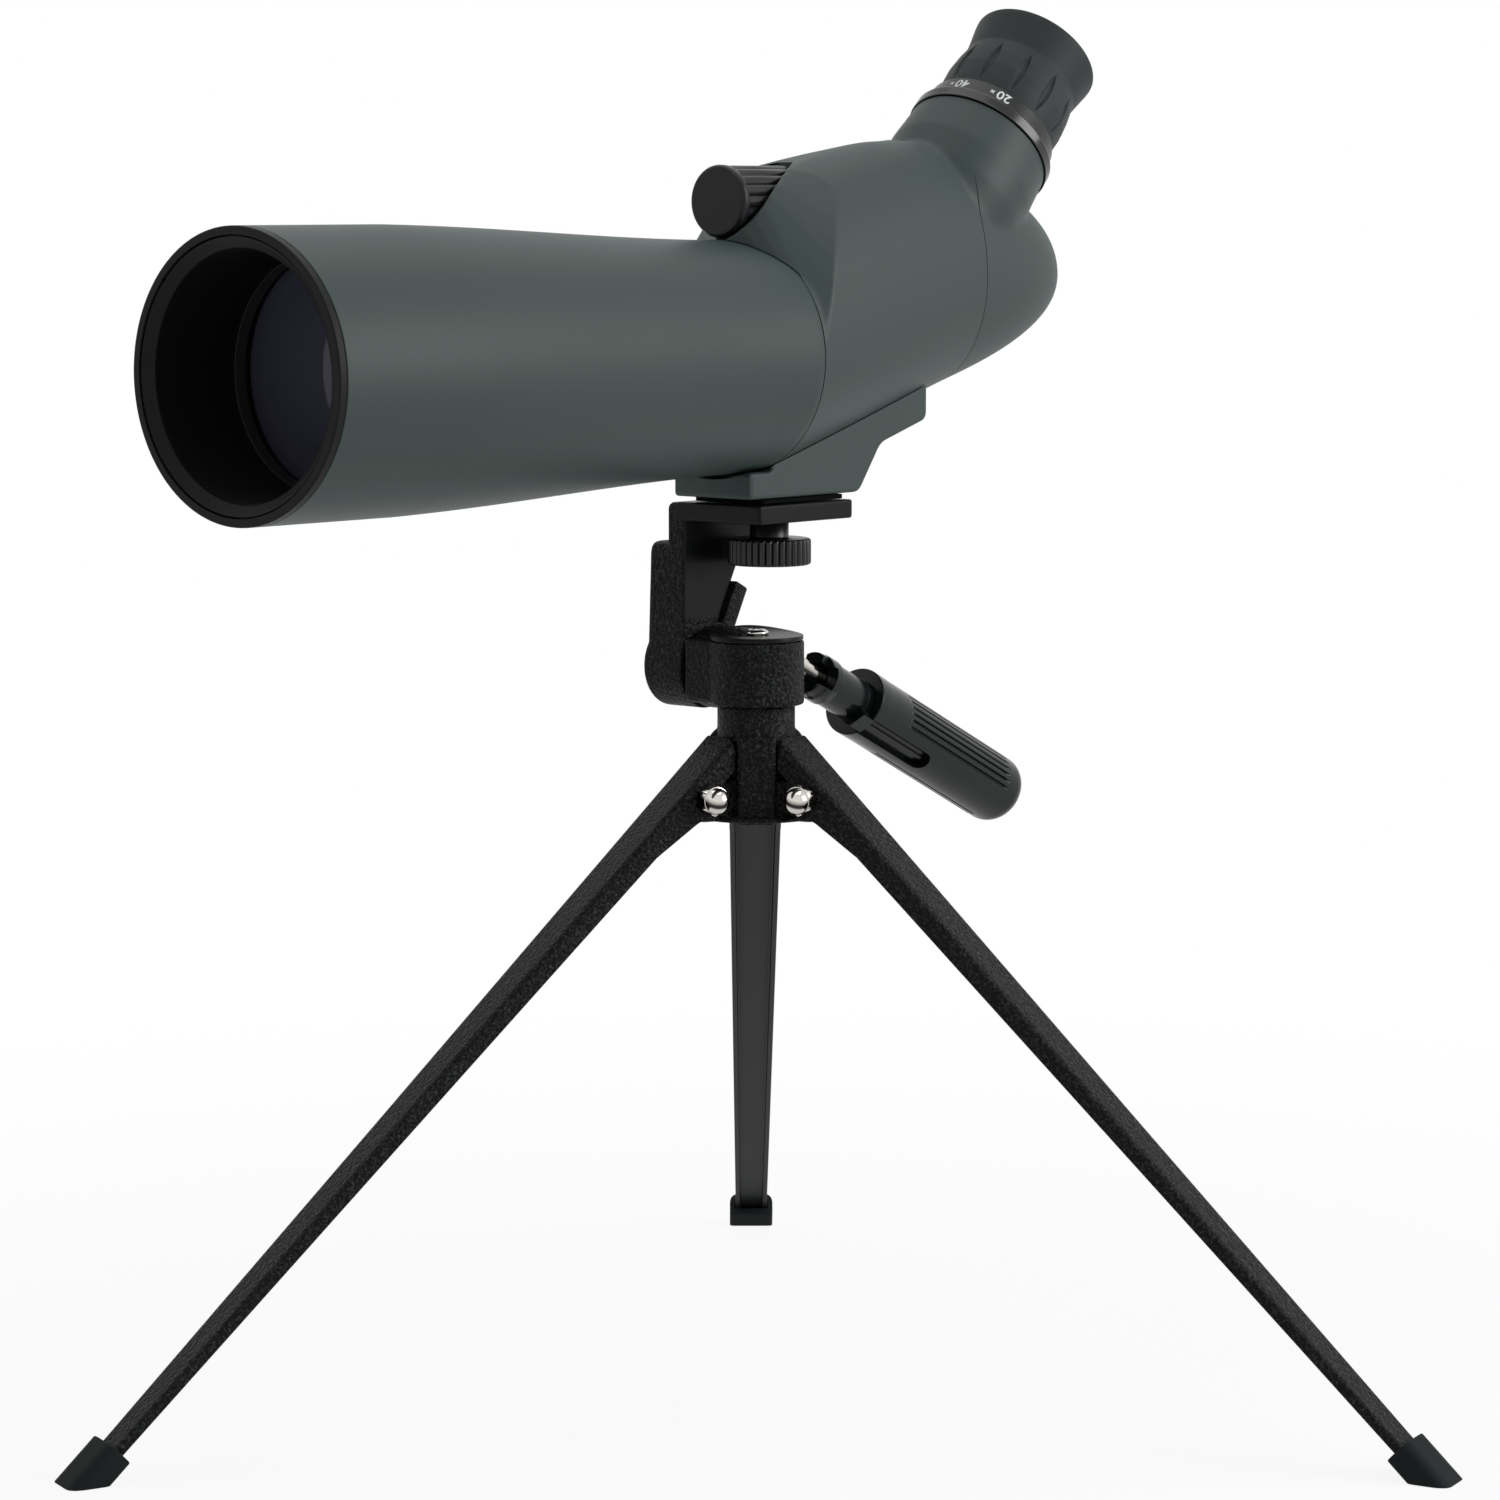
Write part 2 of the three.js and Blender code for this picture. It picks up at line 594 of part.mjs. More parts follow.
function makeFoot() {
  const half = foot.width / 2;
  const sole = -foot.depth;
  const side = plateAlongX([
    [foot.front, sole], [foot.soleEnd, sole], [foot.kneeY, sole + foot.kneeRise],
    [foot.backY, sole + foot.backRise], [foot.backY, 0], [foot.front, 0],
  ], foot.corner, -half, half, foot.edge);
  const housingRoom = lowerHull(foot.notchY, foot.backY + 2 * overrun, -gap);
  const tubeRoom = rod(tube.endRadius + foot.saddleGap, foot.front - overrun, foot.notchY, fineSteps);
  const front = block([-foot.width, foot.front - overrun, sole + foot.lipRise], [foot.width, foot.notchY, 0]);
  const above = block([-foot.width, foot.front - overrun, -eggAt(foot.backY).middle / 2],
    [foot.width, foot.backY + overrun, foot.depth]);
  const bushHole = upright(rod(foot.bushRadius + gap, sole - overrun, sole + foot.bushLength + gap));
  return side.subtract(housingRoom).subtract(tubeRoom).subtract(front).subtract(above)
    .subtract(placed(bushHole, [0, platformMiddle, 0]));
}

const platformMiddle = (bracket.frontY + bracket.platformEnd) / 2;

function makeBush() {
  const sole = -foot.depth;
  const shell = upright(ring(foot.bushRadius, foot.bushHole, sole, sole + foot.bushLength, midSteps));
  return placed(shell, [0, platformMiddle, 0]);
}

const collarBore = eye.boreRadius - gap - collar.spigotWall;

function makeCollar() {
  const start = eye.neckEnd + gap;
  const spigot = eye.boreRadius - gap;
  return turned([
    [spigot, start], [collar.radius, start], [collar.radius, start + collar.length - collar.edge],
    [collar.radius - collar.edge, start + collar.length], [collarBore, start + collar.length],
    [collarBore, start - collar.spigotLength], [spigot, start - collar.spigotLength],
  ]);
}

const scaleStart = eye.neckEnd + gap + collar.length + runGap;
const gripStart = scaleStart + scaleRing.length + gap;
const gripEnd = gripStart + grip.length;
const barrelOuter = collarBore - gap;

function makeScaleRing() {
  const inner = barrelOuter + runGap;
  return turned([
    [inner, scaleStart], [scaleRing.radius, scaleStart], [scaleRing.topRadius, scaleStart + scaleRing.length],
    [inner, scaleStart + scaleRing.length],
  ]);
}

function makeGrip() {
  const inner = barrelOuter + runGap;
  const at = (along) => gripStart + along;
  const outline = [
    [grip.lowRadius, at(0)], [grip.bellyRadius, at(grip.bellyPlace)],
    [mix(grip.bellyRadius, grip.waistRadius, grip.fallShare),
      at(mix(grip.bellyPlace, grip.waistPlace, grip.fallShare))],
    [grip.waistRadius, at(grip.waistPlace)],
    [mix(grip.waistRadius, grip.rimRadius, grip.flareShare),
      at(mix(grip.waistPlace, grip.length, grip.flarePlaceShare))],
    [grip.rimRadius, gripEnd - grip.lipThickness], [grip.rimRadius - grip.lipThickness / 2, gripEnd],
    [grip.rimRadius - grip.lipThickness, gripEnd],
  ];
  const shell = turned([...outline, [inner, gripEnd - grip.mouthDepth], [inner, at(0)]]);
  const fluteUnit = new THREE.SphereGeometry(1, domeSteps, hullSteps);
  const cutters = [];
  for (let i = 0; i < grip.flutes; i += 1) {
    const angle = fullTurn * i / grip.flutes;
    const flute = fluteUnit.clone().scale(grip.fluteWidth, grip.fluteLength / 2, grip.fluteDepth);
    flute.translate(0, gripStart + grip.bellyPlace, grip.bellyRadius);
    cutters.push(placed(solidFrom(flute), [0, 0, 0], [0, angle, 0]));
  }
  return cutters.reduce((whole, cutter) => whole.subtract(cutter), shell);
}

const barrelTop = gripEnd - barrel.topRecess;

function makeBarrel() {
  const inner = barrelOuter - barrel.wall;
  return ring(barrelOuter, inner, barrel.startPlace, barrelTop - eyeLens.ringLength, fineSteps);
}

function makeEyeLens() {
  const top = barrelTop - eyeLens.ringLength - gap;
  const radius = barrelOuter - barrel.wall - gap;
  const sag = (eyeLens.thickness - eyeLens.edge) / 2;
  return lens(radius, top - eyeLens.edge - sag, top - sag, sag, sag);
}

function makeEyeLensRing() {
  const top = barrelTop;
  return ring(barrelOuter, eyeLens.ringOpening, top - eyeLens.ringLength + gap, top, midSteps);
}

function makeZoomCell(place) {
  const outer = barrelOuter - barrel.wall - gap;
  const inner = outer - cell.wall;
  const holder = ring(outer, inner, place, place + cell.length, midSteps);
  const sag = (cell.lensThickness - cell.lensEdge) / 2;
  const middle = place + cell.length / 2;
  const glass = lens(inner - gap, middle - cell.lensEdge / 2, middle + cell.lensEdge / 2, sag, sag);
  return { holder, glass };
}

// Points of one flute on the knob and on the wheel
const knobPoints = 4;
const wheelPoints = 2;

// Ring outline with flutes, for the knob and the wheel
function flutedOutline(radius, depth, count, pointsEach) {
  const corners = [];
  for (let i = 0; i < count; i += 1) {
    for (let j = 0; j < pointsEach; j += 1) {
      const angle = turn * (i + j / pointsEach) / count;
      const reach = j === 0 ? radius - depth : radius;
      corners.push([reach * Math.cos(angle), reach * Math.sin(angle)]);
    }
  }
  return corners;
}

// The knob is turned about Y from its own origin at its front face
function makeKnob() {
  const face = turned([
    [0, 0], [knob.radius - knob.edge, 0], [knob.radius, knob.edge], [knob.radius, knob.plainLength],
    [0, knob.plainLength],
  ]);
  const fluted = plateUp(flutedOutline(knob.radius - gap / 2, knob.fluteDepth, knob.flutes, knobPoints), 0,
    knob.plainLength - gap, knob.length);
  const side = placed(fluted, [0, 0, 0], [-90, 0, 0]);
  const socket = rod(screw.radius + gap, knob.length / 2, knob.length + overrun, smallSteps);
  return face.add(side).subtract(socket);
}

function makeFocusScrew() {
  const start = knob.length / 2 + gap;
  const collarStart = body.hollowStart - knob.front + gap;
  const thread = rod(screw.radius, start, start + screw.length, smallSteps);
  const collarEnd = collarStart + screw.collarLength;
  const stop = ring(screw.collarRadius, screw.radius - gap, collarStart, collarEnd, smallSteps);
  return thread.add(stop);
}

// The carriage's travel ends short of the prism
const carriagePlace = prism.place - prism.length / 2 - carriage.clearance - carriage.travel - carriage.length;

// Carriage: a lens ring on the optical axis, hung from a nut on the screw
function makeCarriage() {
  const outer = carriage.lensRadius + carriage.wall + gap;
  const lensRing = ring(outer, carriage.lensRadius + gap, 0, carriage.length, midSteps);
  const arm = block([-carriage.armWidth / 2, 0, outer - carriage.wall / 2],
    [carriage.armWidth / 2, carriage.armThickness, knobHeight]);
  const nutBody = rod(screw.radius + carriage.wall, 0, screw.nutLength, smallSteps);
  const hole = rod(screw.radius + gap, -overrun, screw.nutLength + overrun, smallSteps);
  return lensRing.add(arm).add(placed(nutBody, [0, 0, knobHeight]))
    .subtract(placed(hole, [0, 0, knobHeight]));
}

function makeFocusLens() {
  const sag = (carriage.lensThickness - carriage.lensEdge) / 2;
  const middle = carriage.length / 2;
  return lens(carriage.lensRadius, middle - carriage.lensEdge / 2, middle + carriage.lensEdge / 2, sag, sag);
}

// Erecting prism: a wedge that folds the beam up by 45 degrees, on a seat plate
function makePrism() {
  const half = prism.width / 2;
  const front = prism.place - prism.length / 2;
  const back = prism.place + prism.length / 2;
  const low = -prism.drop + prism.seatThickness + gap;
  return plateAlongX([
    [front, low], [back, low + prism.drop / 2], [back, prism.rise / 2], [prism.place, prism.rise],
    [front, prism.rise - prism.drop / 2],
  ], 0, -half, half);
}

function makePrismSeat() {
  const half = prism.width / 2 + prism.seatMargin;
  const front = prism.place - prism.length / 2;
  const top = -prism.drop + prism.seatThickness;
  const reach = body.seam;
  const strip = plateAlongX([
    [front, top], [front, -reach], [prism.place, -reach], [prism.place, top + prism.drop / 4],
  ], 0, -half, half);
  return strip.intersect(lowerHull(housingStart, body.seam, body.wall + gap));
}

// Tripod head, from the top of the column upwards
const columnTop = hub.pivotHeight + hub.columnRise;
const panBottom = columnTop + gap;
const panTop = panBottom + pan.height;
const tiltHeight = panBottom + pan.tiltHeight;
const platformTop = tiltHeight + bracket.topRise;
const soleHeight = platformTop + gap + pad.thickness + gap;
const axisHeight = soleHeight + foot.depth;
const armInner = scopeSide - foot.width / 2;
const earFace = armInner + gap + washer.thickness + gap;
const panBore = hub.spindleRadius + runGap;
const spindleTop = panTop - 2 * pan.edge - overrun;

// The pan body is drawn from the column axis, its ear towards -X
function makePanBody() {
  const barrelSolid = upright(turned([
    [0, panBottom], [pan.radius - pan.edge, panBottom], [pan.radius, panBottom + pan.edge],
    [pan.radius, panTop], [0, panTop],
  ]));
  const half = pan.earHalf;
  const ear = plateAlongX([
    [-half, panBottom], [half, panBottom], [half, panTop], [-half, panTop],
  ], pan.edge, earFace, 0);
  const bore = upright(rod(panBore, panBottom - overrun, panTop - 2 * pan.edge));
  const screwHole = upright(rod(disc.shankRadius + gap, panBottom, panTop + overrun, smallSteps));
  const boltHole = placed(acrossX(rod(tiltBolt.radius + gap, earFace - overrun, -panBore - gap, smallSteps)),
    [0, 0, tiltHeight]);
  const holeStart = rodTip - handle.tipGap;
  const rodHole = alongHandle(rod(handle.rodRadius + gap, holeStart, 2 * pan.radius, smallSteps));
  return barrelSolid.add(ear).add(makeLug(0)).subtract(bore).subtract(screwHole)
    .subtract(boltHole).subtract(rodHole);
}

// Rear edge line of the arm, as the place along Y at a height over the tilt axis
const rearRise = bracket.topRise - bracket.plate - bracket.rearLowRise;
const rearSlope = (bracket.rearTopY - bracket.rearLowY) / rearRise;
const rearEdge = (rise) => bracket.rearLowY + rearSlope * (rise - bracket.rearLowRise);

// Front face of the tilt stop, and its size across, at a height over the tilt axis
const lugLean = Math.atan(rearSlope);
const lugFace = (rise) => rearEdge(rise) + lug.clearance / Math.cos(lugLean);
const lugAcross = lug.thickness / Math.cos(lugLean);

// Tilt stop: a bar that leans back behind the arm's rear edge, optionally grown all round
function makeLug(grow) {
  const low = panTop - tiltHeight - pan.lugFoot;
  const topDrop = lug.thickness * Math.sin(lugLean);
  const bar = plateAlongX([
    [lugFace(low) - grow, tiltHeight + low], [lugFace(low) + lugAcross + grow, tiltHeight + low],
    [lugFace(lug.top - topDrop) + lugAcross + grow, tiltHeight + lug.top - topDrop],
    [lugFace(lug.top) - grow, tiltHeight + lug.top],
  ], pan.edge, scopeSide - lug.outer - grow, scopeSide - lug.inner + grow);
  const bossRoom = placed(acrossX(rod(bracket.bossRadius + lug.bossRoom, 2 * armInner, earFace, fineSteps)),
    [0, 0, tiltHeight]);
  return bar.subtract(bossRoom);
}

function makeDisc() {
  const start = panTop + gap;
  const end = start + disc.thickness;
  const plate = upright(rod(disc.radius, start, end, fineSteps));
  const hole = upright(rod(disc.shankRadius + gap, start - overrun, end + overrun, smallSteps));
  return plate.subtract(hole).subtract(makeLug(gap));
}

function makePanScrew() {
  const start = panTop + gap + disc.thickness + gap;
  const head = upright(turned([
    [0, start], [disc.screwRadius, start], [disc.screwRadius, start + disc.screwHead / 2],
    [disc.screwRadius / 2, start + disc.screwHead], [0, start + disc.screwHead],
  ], smallSteps));
  const shank = upright(rod(disc.shankRadius, columnTop, start + disc.screwHead / 2, smallSteps));
  const deep = start + disc.screwHead - disc.crossDepth;
  const half = disc.crossWidth / 2;
  const slotA = block([-disc.crossReach, -half, deep], [disc.crossReach, half, deep + disc.screwHead]);
  const slotB = block([-half, -disc.crossReach, deep], [half, disc.crossReach, deep + disc.screwHead]);
  return head.add(shank).subtract(slotA).subtract(slotB);
}

// Outer face of the arm's boss, where its leaning cheek meets the tilt axis
const bossFace = armInner - bracket.armThickness - bracket.cheek - bracket.cheekLeanShare * bracket.cheekTop;

// Bracket: platform on top, arm down one side, thick cheek round the tilt bolt
function makeBracket() {
  const half = foot.width / 2;
  const under = platformTop - bracket.plate;
  const armSide = scopeSide - half - bracket.armThickness / 2;
  const platform = plateUp([
    [armSide, bracket.frontY], [scopeSide + half, bracket.frontY],
    [scopeSide + half, bracket.platformEnd], [armSide, bracket.platformEnd],
  ], bracket.corner, under, platformTop);
  const armOuter = armInner - bracket.armThickness;
  const arm = plateAlongX([
    [bracket.frontY, platformTop], [bracket.rearTopY, platformTop], [bracket.rearTopY, under],
    [bracket.rearLowY, tiltHeight + bracket.rearLowRise], [0, tiltHeight], [bracket.frontY, tiltHeight],
  ], bracket.corner / 2, armOuter, armInner);
  const cheekTop = tiltHeight + bracket.cheekTop;
  const cheek = plate([
    [bracket.frontY, cheekTop], [rearEdge(bracket.cheekTop), cheekTop],
    [bracket.rearLowY, tiltHeight + bracket.rearLowRise], [0, tiltHeight], [bracket.frontY, tiltHeight],
  ], bracket.corner, armOuter - bracket.cheek, armInner, bracket.corner / 2,
  (y, z, x) => [x + bracket.cheekLeanShare * (z - cheekTop), y, z]);
  const round = acrossX(turned([
    [0, bossFace], [bracket.bossRadius - bracket.corner / 2, bossFace],
    [bracket.bossRadius, bossFace + bracket.corner / 2], [bracket.bossRadius, armInner], [0, armInner],
  ]));
  const boltHole = acrossX(rod(tiltBolt.radius + gap, bossFace - overrun, armInner + overrun, smallSteps));
  const headRoom = acrossX(rod(tiltBolt.headRadius + gap, bossFace - overrun,
    bossFace + tiltBolt.headLength + gap - tiltBolt.recess, midSteps));
  const screwHole = upright(rod(bracket.screwHole, under - overrun, platformTop + overrun, midSteps));
  return platform.add(arm).add(cheek).add(placed(round, [0, 0, tiltHeight]))
    .subtract(placed(boltHole, [0, 0, tiltHeight])).subtract(placed(headRoom, [0, 0, tiltHeight]))
    .subtract(placed(screwHole, [scopeSide, platformMiddle, 0]));
}

function makePad() {
  const half = foot.width / 2 - pad.inset / 2;
  const start = platformTop + gap;
  const sheet = plateUp([
    [scopeSide - half, bracket.frontY + pad.inset], [scopeSide + half, bracket.frontY + pad.inset],
    [scopeSide + half, bracket.platformEnd - pad.inset], [scopeSide - half, bracket.platformEnd - pad.inset],
  ], bracket.corner, start, start + pad.thickness);
  const hole = placed(upright(rod(pad.hole, start - overrun, start + pad.thickness + overrun, midSteps)),
    [scopeSide, platformMiddle, 0]);
  return sheet.subtract(hole);
}

function makeWasher() {
  const start = armInner + gap;
  const end = start + washer.thickness;
  const sheet = acrossX(ring(washer.radius, tiltBolt.radius + gap, start, end, midSteps));
  return placed(sheet, [0, 0, tiltHeight]);
}

function makeTiltBolt() {
  const face = bossFace - tiltBolt.recess;
  const head = rod(tiltBolt.headRadius, face, face + tiltBolt.headLength, midSteps);
  const shank = rod(tiltBolt.radius, face + tiltBolt.headLength / 2, -panBore - 2 * gap, smallSteps);
  const socket = placed(turned([[0, face - overrun], [tiltBolt.hexWidth, face - overrun],
    [tiltBolt.hexWidth, face + tiltBolt.hexDepth], [0, face + tiltBolt.hexDepth]], hexSides));
  return placed(acrossX(head.add(shank).subtract(socket)), [0, 0, tiltHeight]);
}

// Knurled wheel and its stud, drawn about its own axis from the platform's underside
function makeWheel() {
  const neckStart = -gap;
  const top = -wheel.drop;
  const bottom = top - wheel.height;
  const core = wheel.radius - wheel.ridgeDepth;
  const knurled = plateUp(flutedOutline(wheel.radius, wheel.ridgeDepth, wheel.ridges, wheelPoints), 0,
    bottom + wheel.edge, top - wheel.edge);
  const caps = upright(turned([
    [0, bottom], [core - wheel.edge, bottom], [core, bottom + wheel.edge], [core, top - wheel.edge],
    [core - wheel.edge, top], [0, top],
  ]));
  const neck = upright(rod(wheel.neckRadius, top - wheel.height / 2, neckStart));
  const studTop = bracket.plate + gap + pad.thickness + gap + wheel.studRise;
  const stud = upright(rod(wheel.studRadius, -overrun, studTop, smallSteps));
  return knurled.add(caps).add(neck).add(stud);
}

// Pan handle: drawn along +Y from the column axis, then sloped down and back
const handleRise = panBottom + handle.entry;
function alongHandle(solid) {
  return placed(solid, [0, 0, handleRise], [-handle.slope, 0, 0]);
}

const rodTip = (panBore + handle.tipWall + handle.tipGap) / Math.cos(handle.slope * degree) + handle.tipGap;
const neckFrom = handle.neckStart;
const gripFrom = neckFrom + handle.neckLength;

function makeHandleRod() {
  const end = neckFrom + handle.rodDepth;
  return rod(handle.rodRadius, rodTip, end, smallSteps);
}

function makeHandleGrip() {
  const end = gripFrom + handle.gripLength;
  const neckRing = handle.neckRadius + handle.ringRise;
  const ringAt = neckFrom + handle.ringPlace;
  const ringEnd = ringAt + handle.ringWidth;
  const outline = [
    [0, neckFrom], [handle.neckRadius, neckFrom], [handle.neckRadius, ringAt],
    [neckRing, ringAt + handle.ringRise], [neckRing, ringEnd],
    [handle.neckRadius, ringEnd + handle.ringRise], [handle.neckRadius, gripFrom],
    [handle.gripRadius - handle.shoulder / 2, gripFrom], [handle.gripRadius, gripFrom + handle.shoulder],
  ];
  for (let i = 0; i <= hullSteps; i += 1) {
    const angle = Math.PI / 2 * i / hullSteps;
    const crown = handle.endRound * Math.sin(angle) - handle.endRound;
    outline.push([handle.gripRadius - handle.endRound * (1 - Math.cos(angle)), end + crown]);
  }
  outline.push([0, end]);
  const solid = turned(outline, midSteps);
  const bore = rod(handle.rodRadius + gap, neckFrom - overrun, neckFrom + handle.rodDepth + gap, smallSteps);
  const half = handle.slotWidth / 2;
  const slotBox = block([-half, gripFrom - handle.neckLength / 2, handle.gripRadius - handle.slotDepth],
    [half, gripFrom + handle.slotLength, handle.gripRadius + overrun]);
  const slotFloor = handle.gripRadius - handle.slotDepth;
  const slotRound = upright(rod(half, slotFloor, handle.gripRadius + overrun, smallSteps));
  const slotEnd = placed(slotRound, [0, gripFrom + handle.slotLength, 0]);
  const slot = placed(slotBox.add(slotEnd), [0, 0, 0], [0, handle.slotTurn, 0]);
  let shaped = solid.subtract(bore).subtract(slot);
  for (const side of [handle.upperTurn, handle.lowerTurn]) {
    for (let i = 0; i < handle.grooves; i += 1) {
      const angle = side + (i - (handle.grooves - 1) / 2) * handle.grooveStep;
      const start = gripFrom + handle.grooveStart;
      const groove = block([-handle.grooveWidth / 2, start, handle.gripRadius - handle.grooveDepth],
        [handle.grooveWidth / 2, start + handle.grooveLength, handle.gripRadius + overrun]);
      shaped = shaped.subtract(placed(groove, [0, 0, 0], [0, angle, 0]));
    }
  }
  const reach = 2 * handle.gripRadius;
  const pinHole = placed(acrossX(rod(handle.pinRadius + gap, -reach, reach, smallSteps)),
    [0, neckFrom + handle.pinPlace, 0]);
  return shaped.subtract(placed(pinHole, [0, 0, 0], [0, handle.slotTurn, 0]));
}

function makeHandlePin() {
  const half = handle.neckRadius - gap;
  const pin = acrossX(rod(handle.pinRadius, handle.rodRadius + gap, half, smallSteps));
  return placed(placed(pin, [0, neckFrom + handle.pinPlace, 0]), [0, 0, 0], [0, handle.slotTurn, 0]);
}

// Column with its foot, flange and three flat ribs, optionally grown all round
function columnSolid(grow) {
  const base = hub.pivotHeight - hub.baseDrop;
  const column = upright(turned([
    [0, base], [hub.footRadius + grow, base], [hub.footRadius + grow, hub.pivotHeight],
    [hub.radius + grow, hub.pivotHeight + hub.footRise], [hub.radius + grow, columnTop], [0, columnTop],
  ]));
  const flange = upright(rod(hub.flangeRadius + grow, base, base + hub.flange + grow, fineSteps));
  const half = hub.ribWidth / 2 + grow;
  const rib = block([-hub.ribReach - grow, -half, base], [0, half, hub.pivotHeight + hub.ribRise + grow]);
  let whole = column.add(flange);
  for (let i = 0; i < leg.count; i += 1) {
    whole = whole.add(placed(rib, [0, 0, 0], [0, 0, fullTurn * i / leg.count]));
  }
  return whole;
}

const legShare = (along) => (along + leg.headLength) / leg.taperLength;
const legHalf = (along) => mix(leg.topWidth, leg.endWidth, legShare(along)) / 2;
const lugHalf = legHalf(0) - leg.sheet - gap;

// Lug that one leg swings on
function makeLegLug() {
  const base = hub.pivotHeight - hub.baseDrop;
  const inner = block([0, -lugHalf, base], [hub.pivotReach, lugHalf, hub.pivotHeight + hub.lugEnd]);
  const round = placed(rod(hub.lugEnd, -lugHalf, lugHalf, midSteps), [hub.pivotReach, 0, hub.pivotHeight]);
  const below = block([hub.pivotReach - overrun, -lugHalf, base],
    [hub.pivotReach + hub.lugEnd / 2, lugHalf, hub.pivotHeight - hub.lugEnd / 2]);
  return inner.add(round).add(below);
}

// Hub: column, spindle and three lugs for the legs
function makeHub() {
  const spindle = upright(rod(hub.spindleRadius, columnTop - overrun, spindleTop));
  const screwHole = upright(rod(disc.shankRadius + gap, columnTop - overrun, panTop, smallSteps));
  const boltHole = placed(rod(leg.boltRadius + gap, -2 * lugHalf, 2 * lugHalf, smallSteps),
    [hub.pivotReach, 0, hub.pivotHeight]);
  let whole = columnSolid(0).add(spindle).subtract(screwHole);
  for (let i = 0; i < leg.count; i += 1) {
    const turns = [0, 0, fullTurn * i / leg.count];
    whole = whole.add(placed(makeLegLug(), [0, 0, 0], turns)).subtract(placed(boltHole, [0, 0, 0], turns));
  }
  return whole;
}

// A box between two rectangles, running along +X, given as widths in Y and spans in Z
function taperBox(from, to, startHalf, endHalf, startSpan, endSpan) {
  const rect = (x, half, [low, high]) => [[x, -half, low], [x, half, low], [x, half, high], [x, -half, high]];
  return lofted([rect(from, startHalf, startSpan), rect(to, endHalf, endSpan)]);
}

const legTopFace = (along) => leg.rise + mix(leg.topDepth, leg.endDepth, legShare(along)) / 2;
const legLowFace = (along) => leg.rise - mix(leg.topDepth, leg.endDepth, legShare(along)) / 2;
const slope = leg.splay * degree;

// How far along the leg the floor lies, on the line at a height over the pivot line
const floorAlong = (rise) => (hub.pivotHeight + rise * Math.sin(slope)) / Math.cos(slope);

// The leg is drawn from its pivot, +X down the leg and +Z out of its web
function makeLeg() {
  const end = floorAlong(leg.rise) - shoe.wallEnd - leg.endDepth;
  const outer = taperBox(-leg.headLength, end, legHalf(-leg.headLength), legHalf(end),
    [legLowFace(-leg.headLength), legTopFace(-leg.headLength)], [legLowFace(end), legTopFace(end)]);
  const earHalf = legHalf(0);
  const ear = plateUp([
    [-leg.earBack, legTopFace(0) - leg.sheet], [-leg.earRadius, 0], [-leg.earFoot, -leg.earRadius],
    [leg.earFoot, -leg.earRadius], [leg.earRadius, -leg.earLift], [leg.earEnd, legLowFace(leg.earEnd)],
    [leg.earEnd, legTopFace(leg.earEnd) - leg.sheet],
  ], leg.corner, -earHalf + gap, earHalf - gap);
  const ears = placed(ear, [0, 0, 0], [90, 0, 0]);
  const low = -leg.earRadius - overrun;
  const start = -leg.headLength;
  const hollow = taperBox(start - overrun, end + overrun, legHalf(start) - leg.sheet,
    legHalf(end) - leg.sheet, [low, legTopFace(start) - leg.sheet],
    [low, legTopFace(end) - leg.sheet]);
  const hole = rod(leg.boltRadius + gap, -2 * earHalf, 2 * earHalf, smallSteps);
  const column = placed(placed(columnSolid(runGap), [-hub.pivotReach, 0, -hub.pivotHeight]), [0, 0, 0],
    [0, leg.splay - 90, 0]);
  return outer.add(ears).subtract(hollow).subtract(hole).subtract(column);
}

// Foot: a rubber sock over the leg's end, cut flat on the floor
function makeShoe() {
  const end = floorAlong(leg.rise);
  const half = shoe.width / 2;
  const low = legLowFace(end) - shoe.under;
  const high = legTopFace(end) + shoe.over;
  const start = end - shoe.length;
  const outline = [[-half, low], [half, low], [half, high], [-half, high]];
  const sock = plate(outline, [shoe.lowCorner, shoe.lowCorner, shoe.topCorner, shoe.topCorner], start,
    end + 2 * high, 0, (y, z, x) => [x, y, z]);
  const legEnd = end - shoe.wallEnd - leg.endDepth + gap;
  const room = taperBox(start - overrun, legEnd, legHalf(start) + gap, legHalf(legEnd) + gap,
    [legLowFace(start) - gap, legTopFace(start) + gap], [legLowFace(legEnd) - gap, legTopFace(legEnd) + gap]);
  const reach = 4 * shoe.length;
  const floorBlock = block([-reach, -reach, -2 * reach], [reach, reach, 0]);
  const onFloor = [floorAlong(0), 0, 0];
  return sock.subtract(room).subtract(placed(floorBlock, onFloor, [0, leg.splay - 90, 0]));
}

const legBoltHalf = legHalf(0) - gap;

function makeLegBolt() {
  const half = legBoltHalf + 2 * gap;
  const head = turned([
    [0, -half - bolt.headLength], [bolt.headTop, -half - bolt.headLength],
    [bolt.headRadius, -half - bolt.headLength / 2], [bolt.headRadius, -half], [0, -half],
  ], smallSteps);
  const shank = rod(leg.boltRadius, -half - bolt.headLength / 2, half + bolt.endLength, smallSteps);
  return head.add(shank);
}

function makeLegNut() {
  const start = legBoltHalf + 2 * gap;
  const hexRadius = nut.flats / 2 / Math.cos(Math.PI / hexSides);
  const hex = rod(hexRadius, start, start + nut.height, hexSides);
  const dome = [[0, start + nut.height - gap]];
  for (let i = 0; i <= hullSteps; i += 1) {
    const angle = Math.PI / 2 * i / hullSteps;
    dome.push([nut.domeRadius * Math.cos(angle), start + nut.height + nut.domeHeight * Math.sin(angle)]);
  }
  const cap = turned(dome, smallSteps);
  const hole = rod(leg.boltRadius + gap, start - overrun, start + bolt.endLength + gap, smallSteps);
  return hex.add(cap).subtract(hole);
}

// Assembly
const root = new THREE.Group();

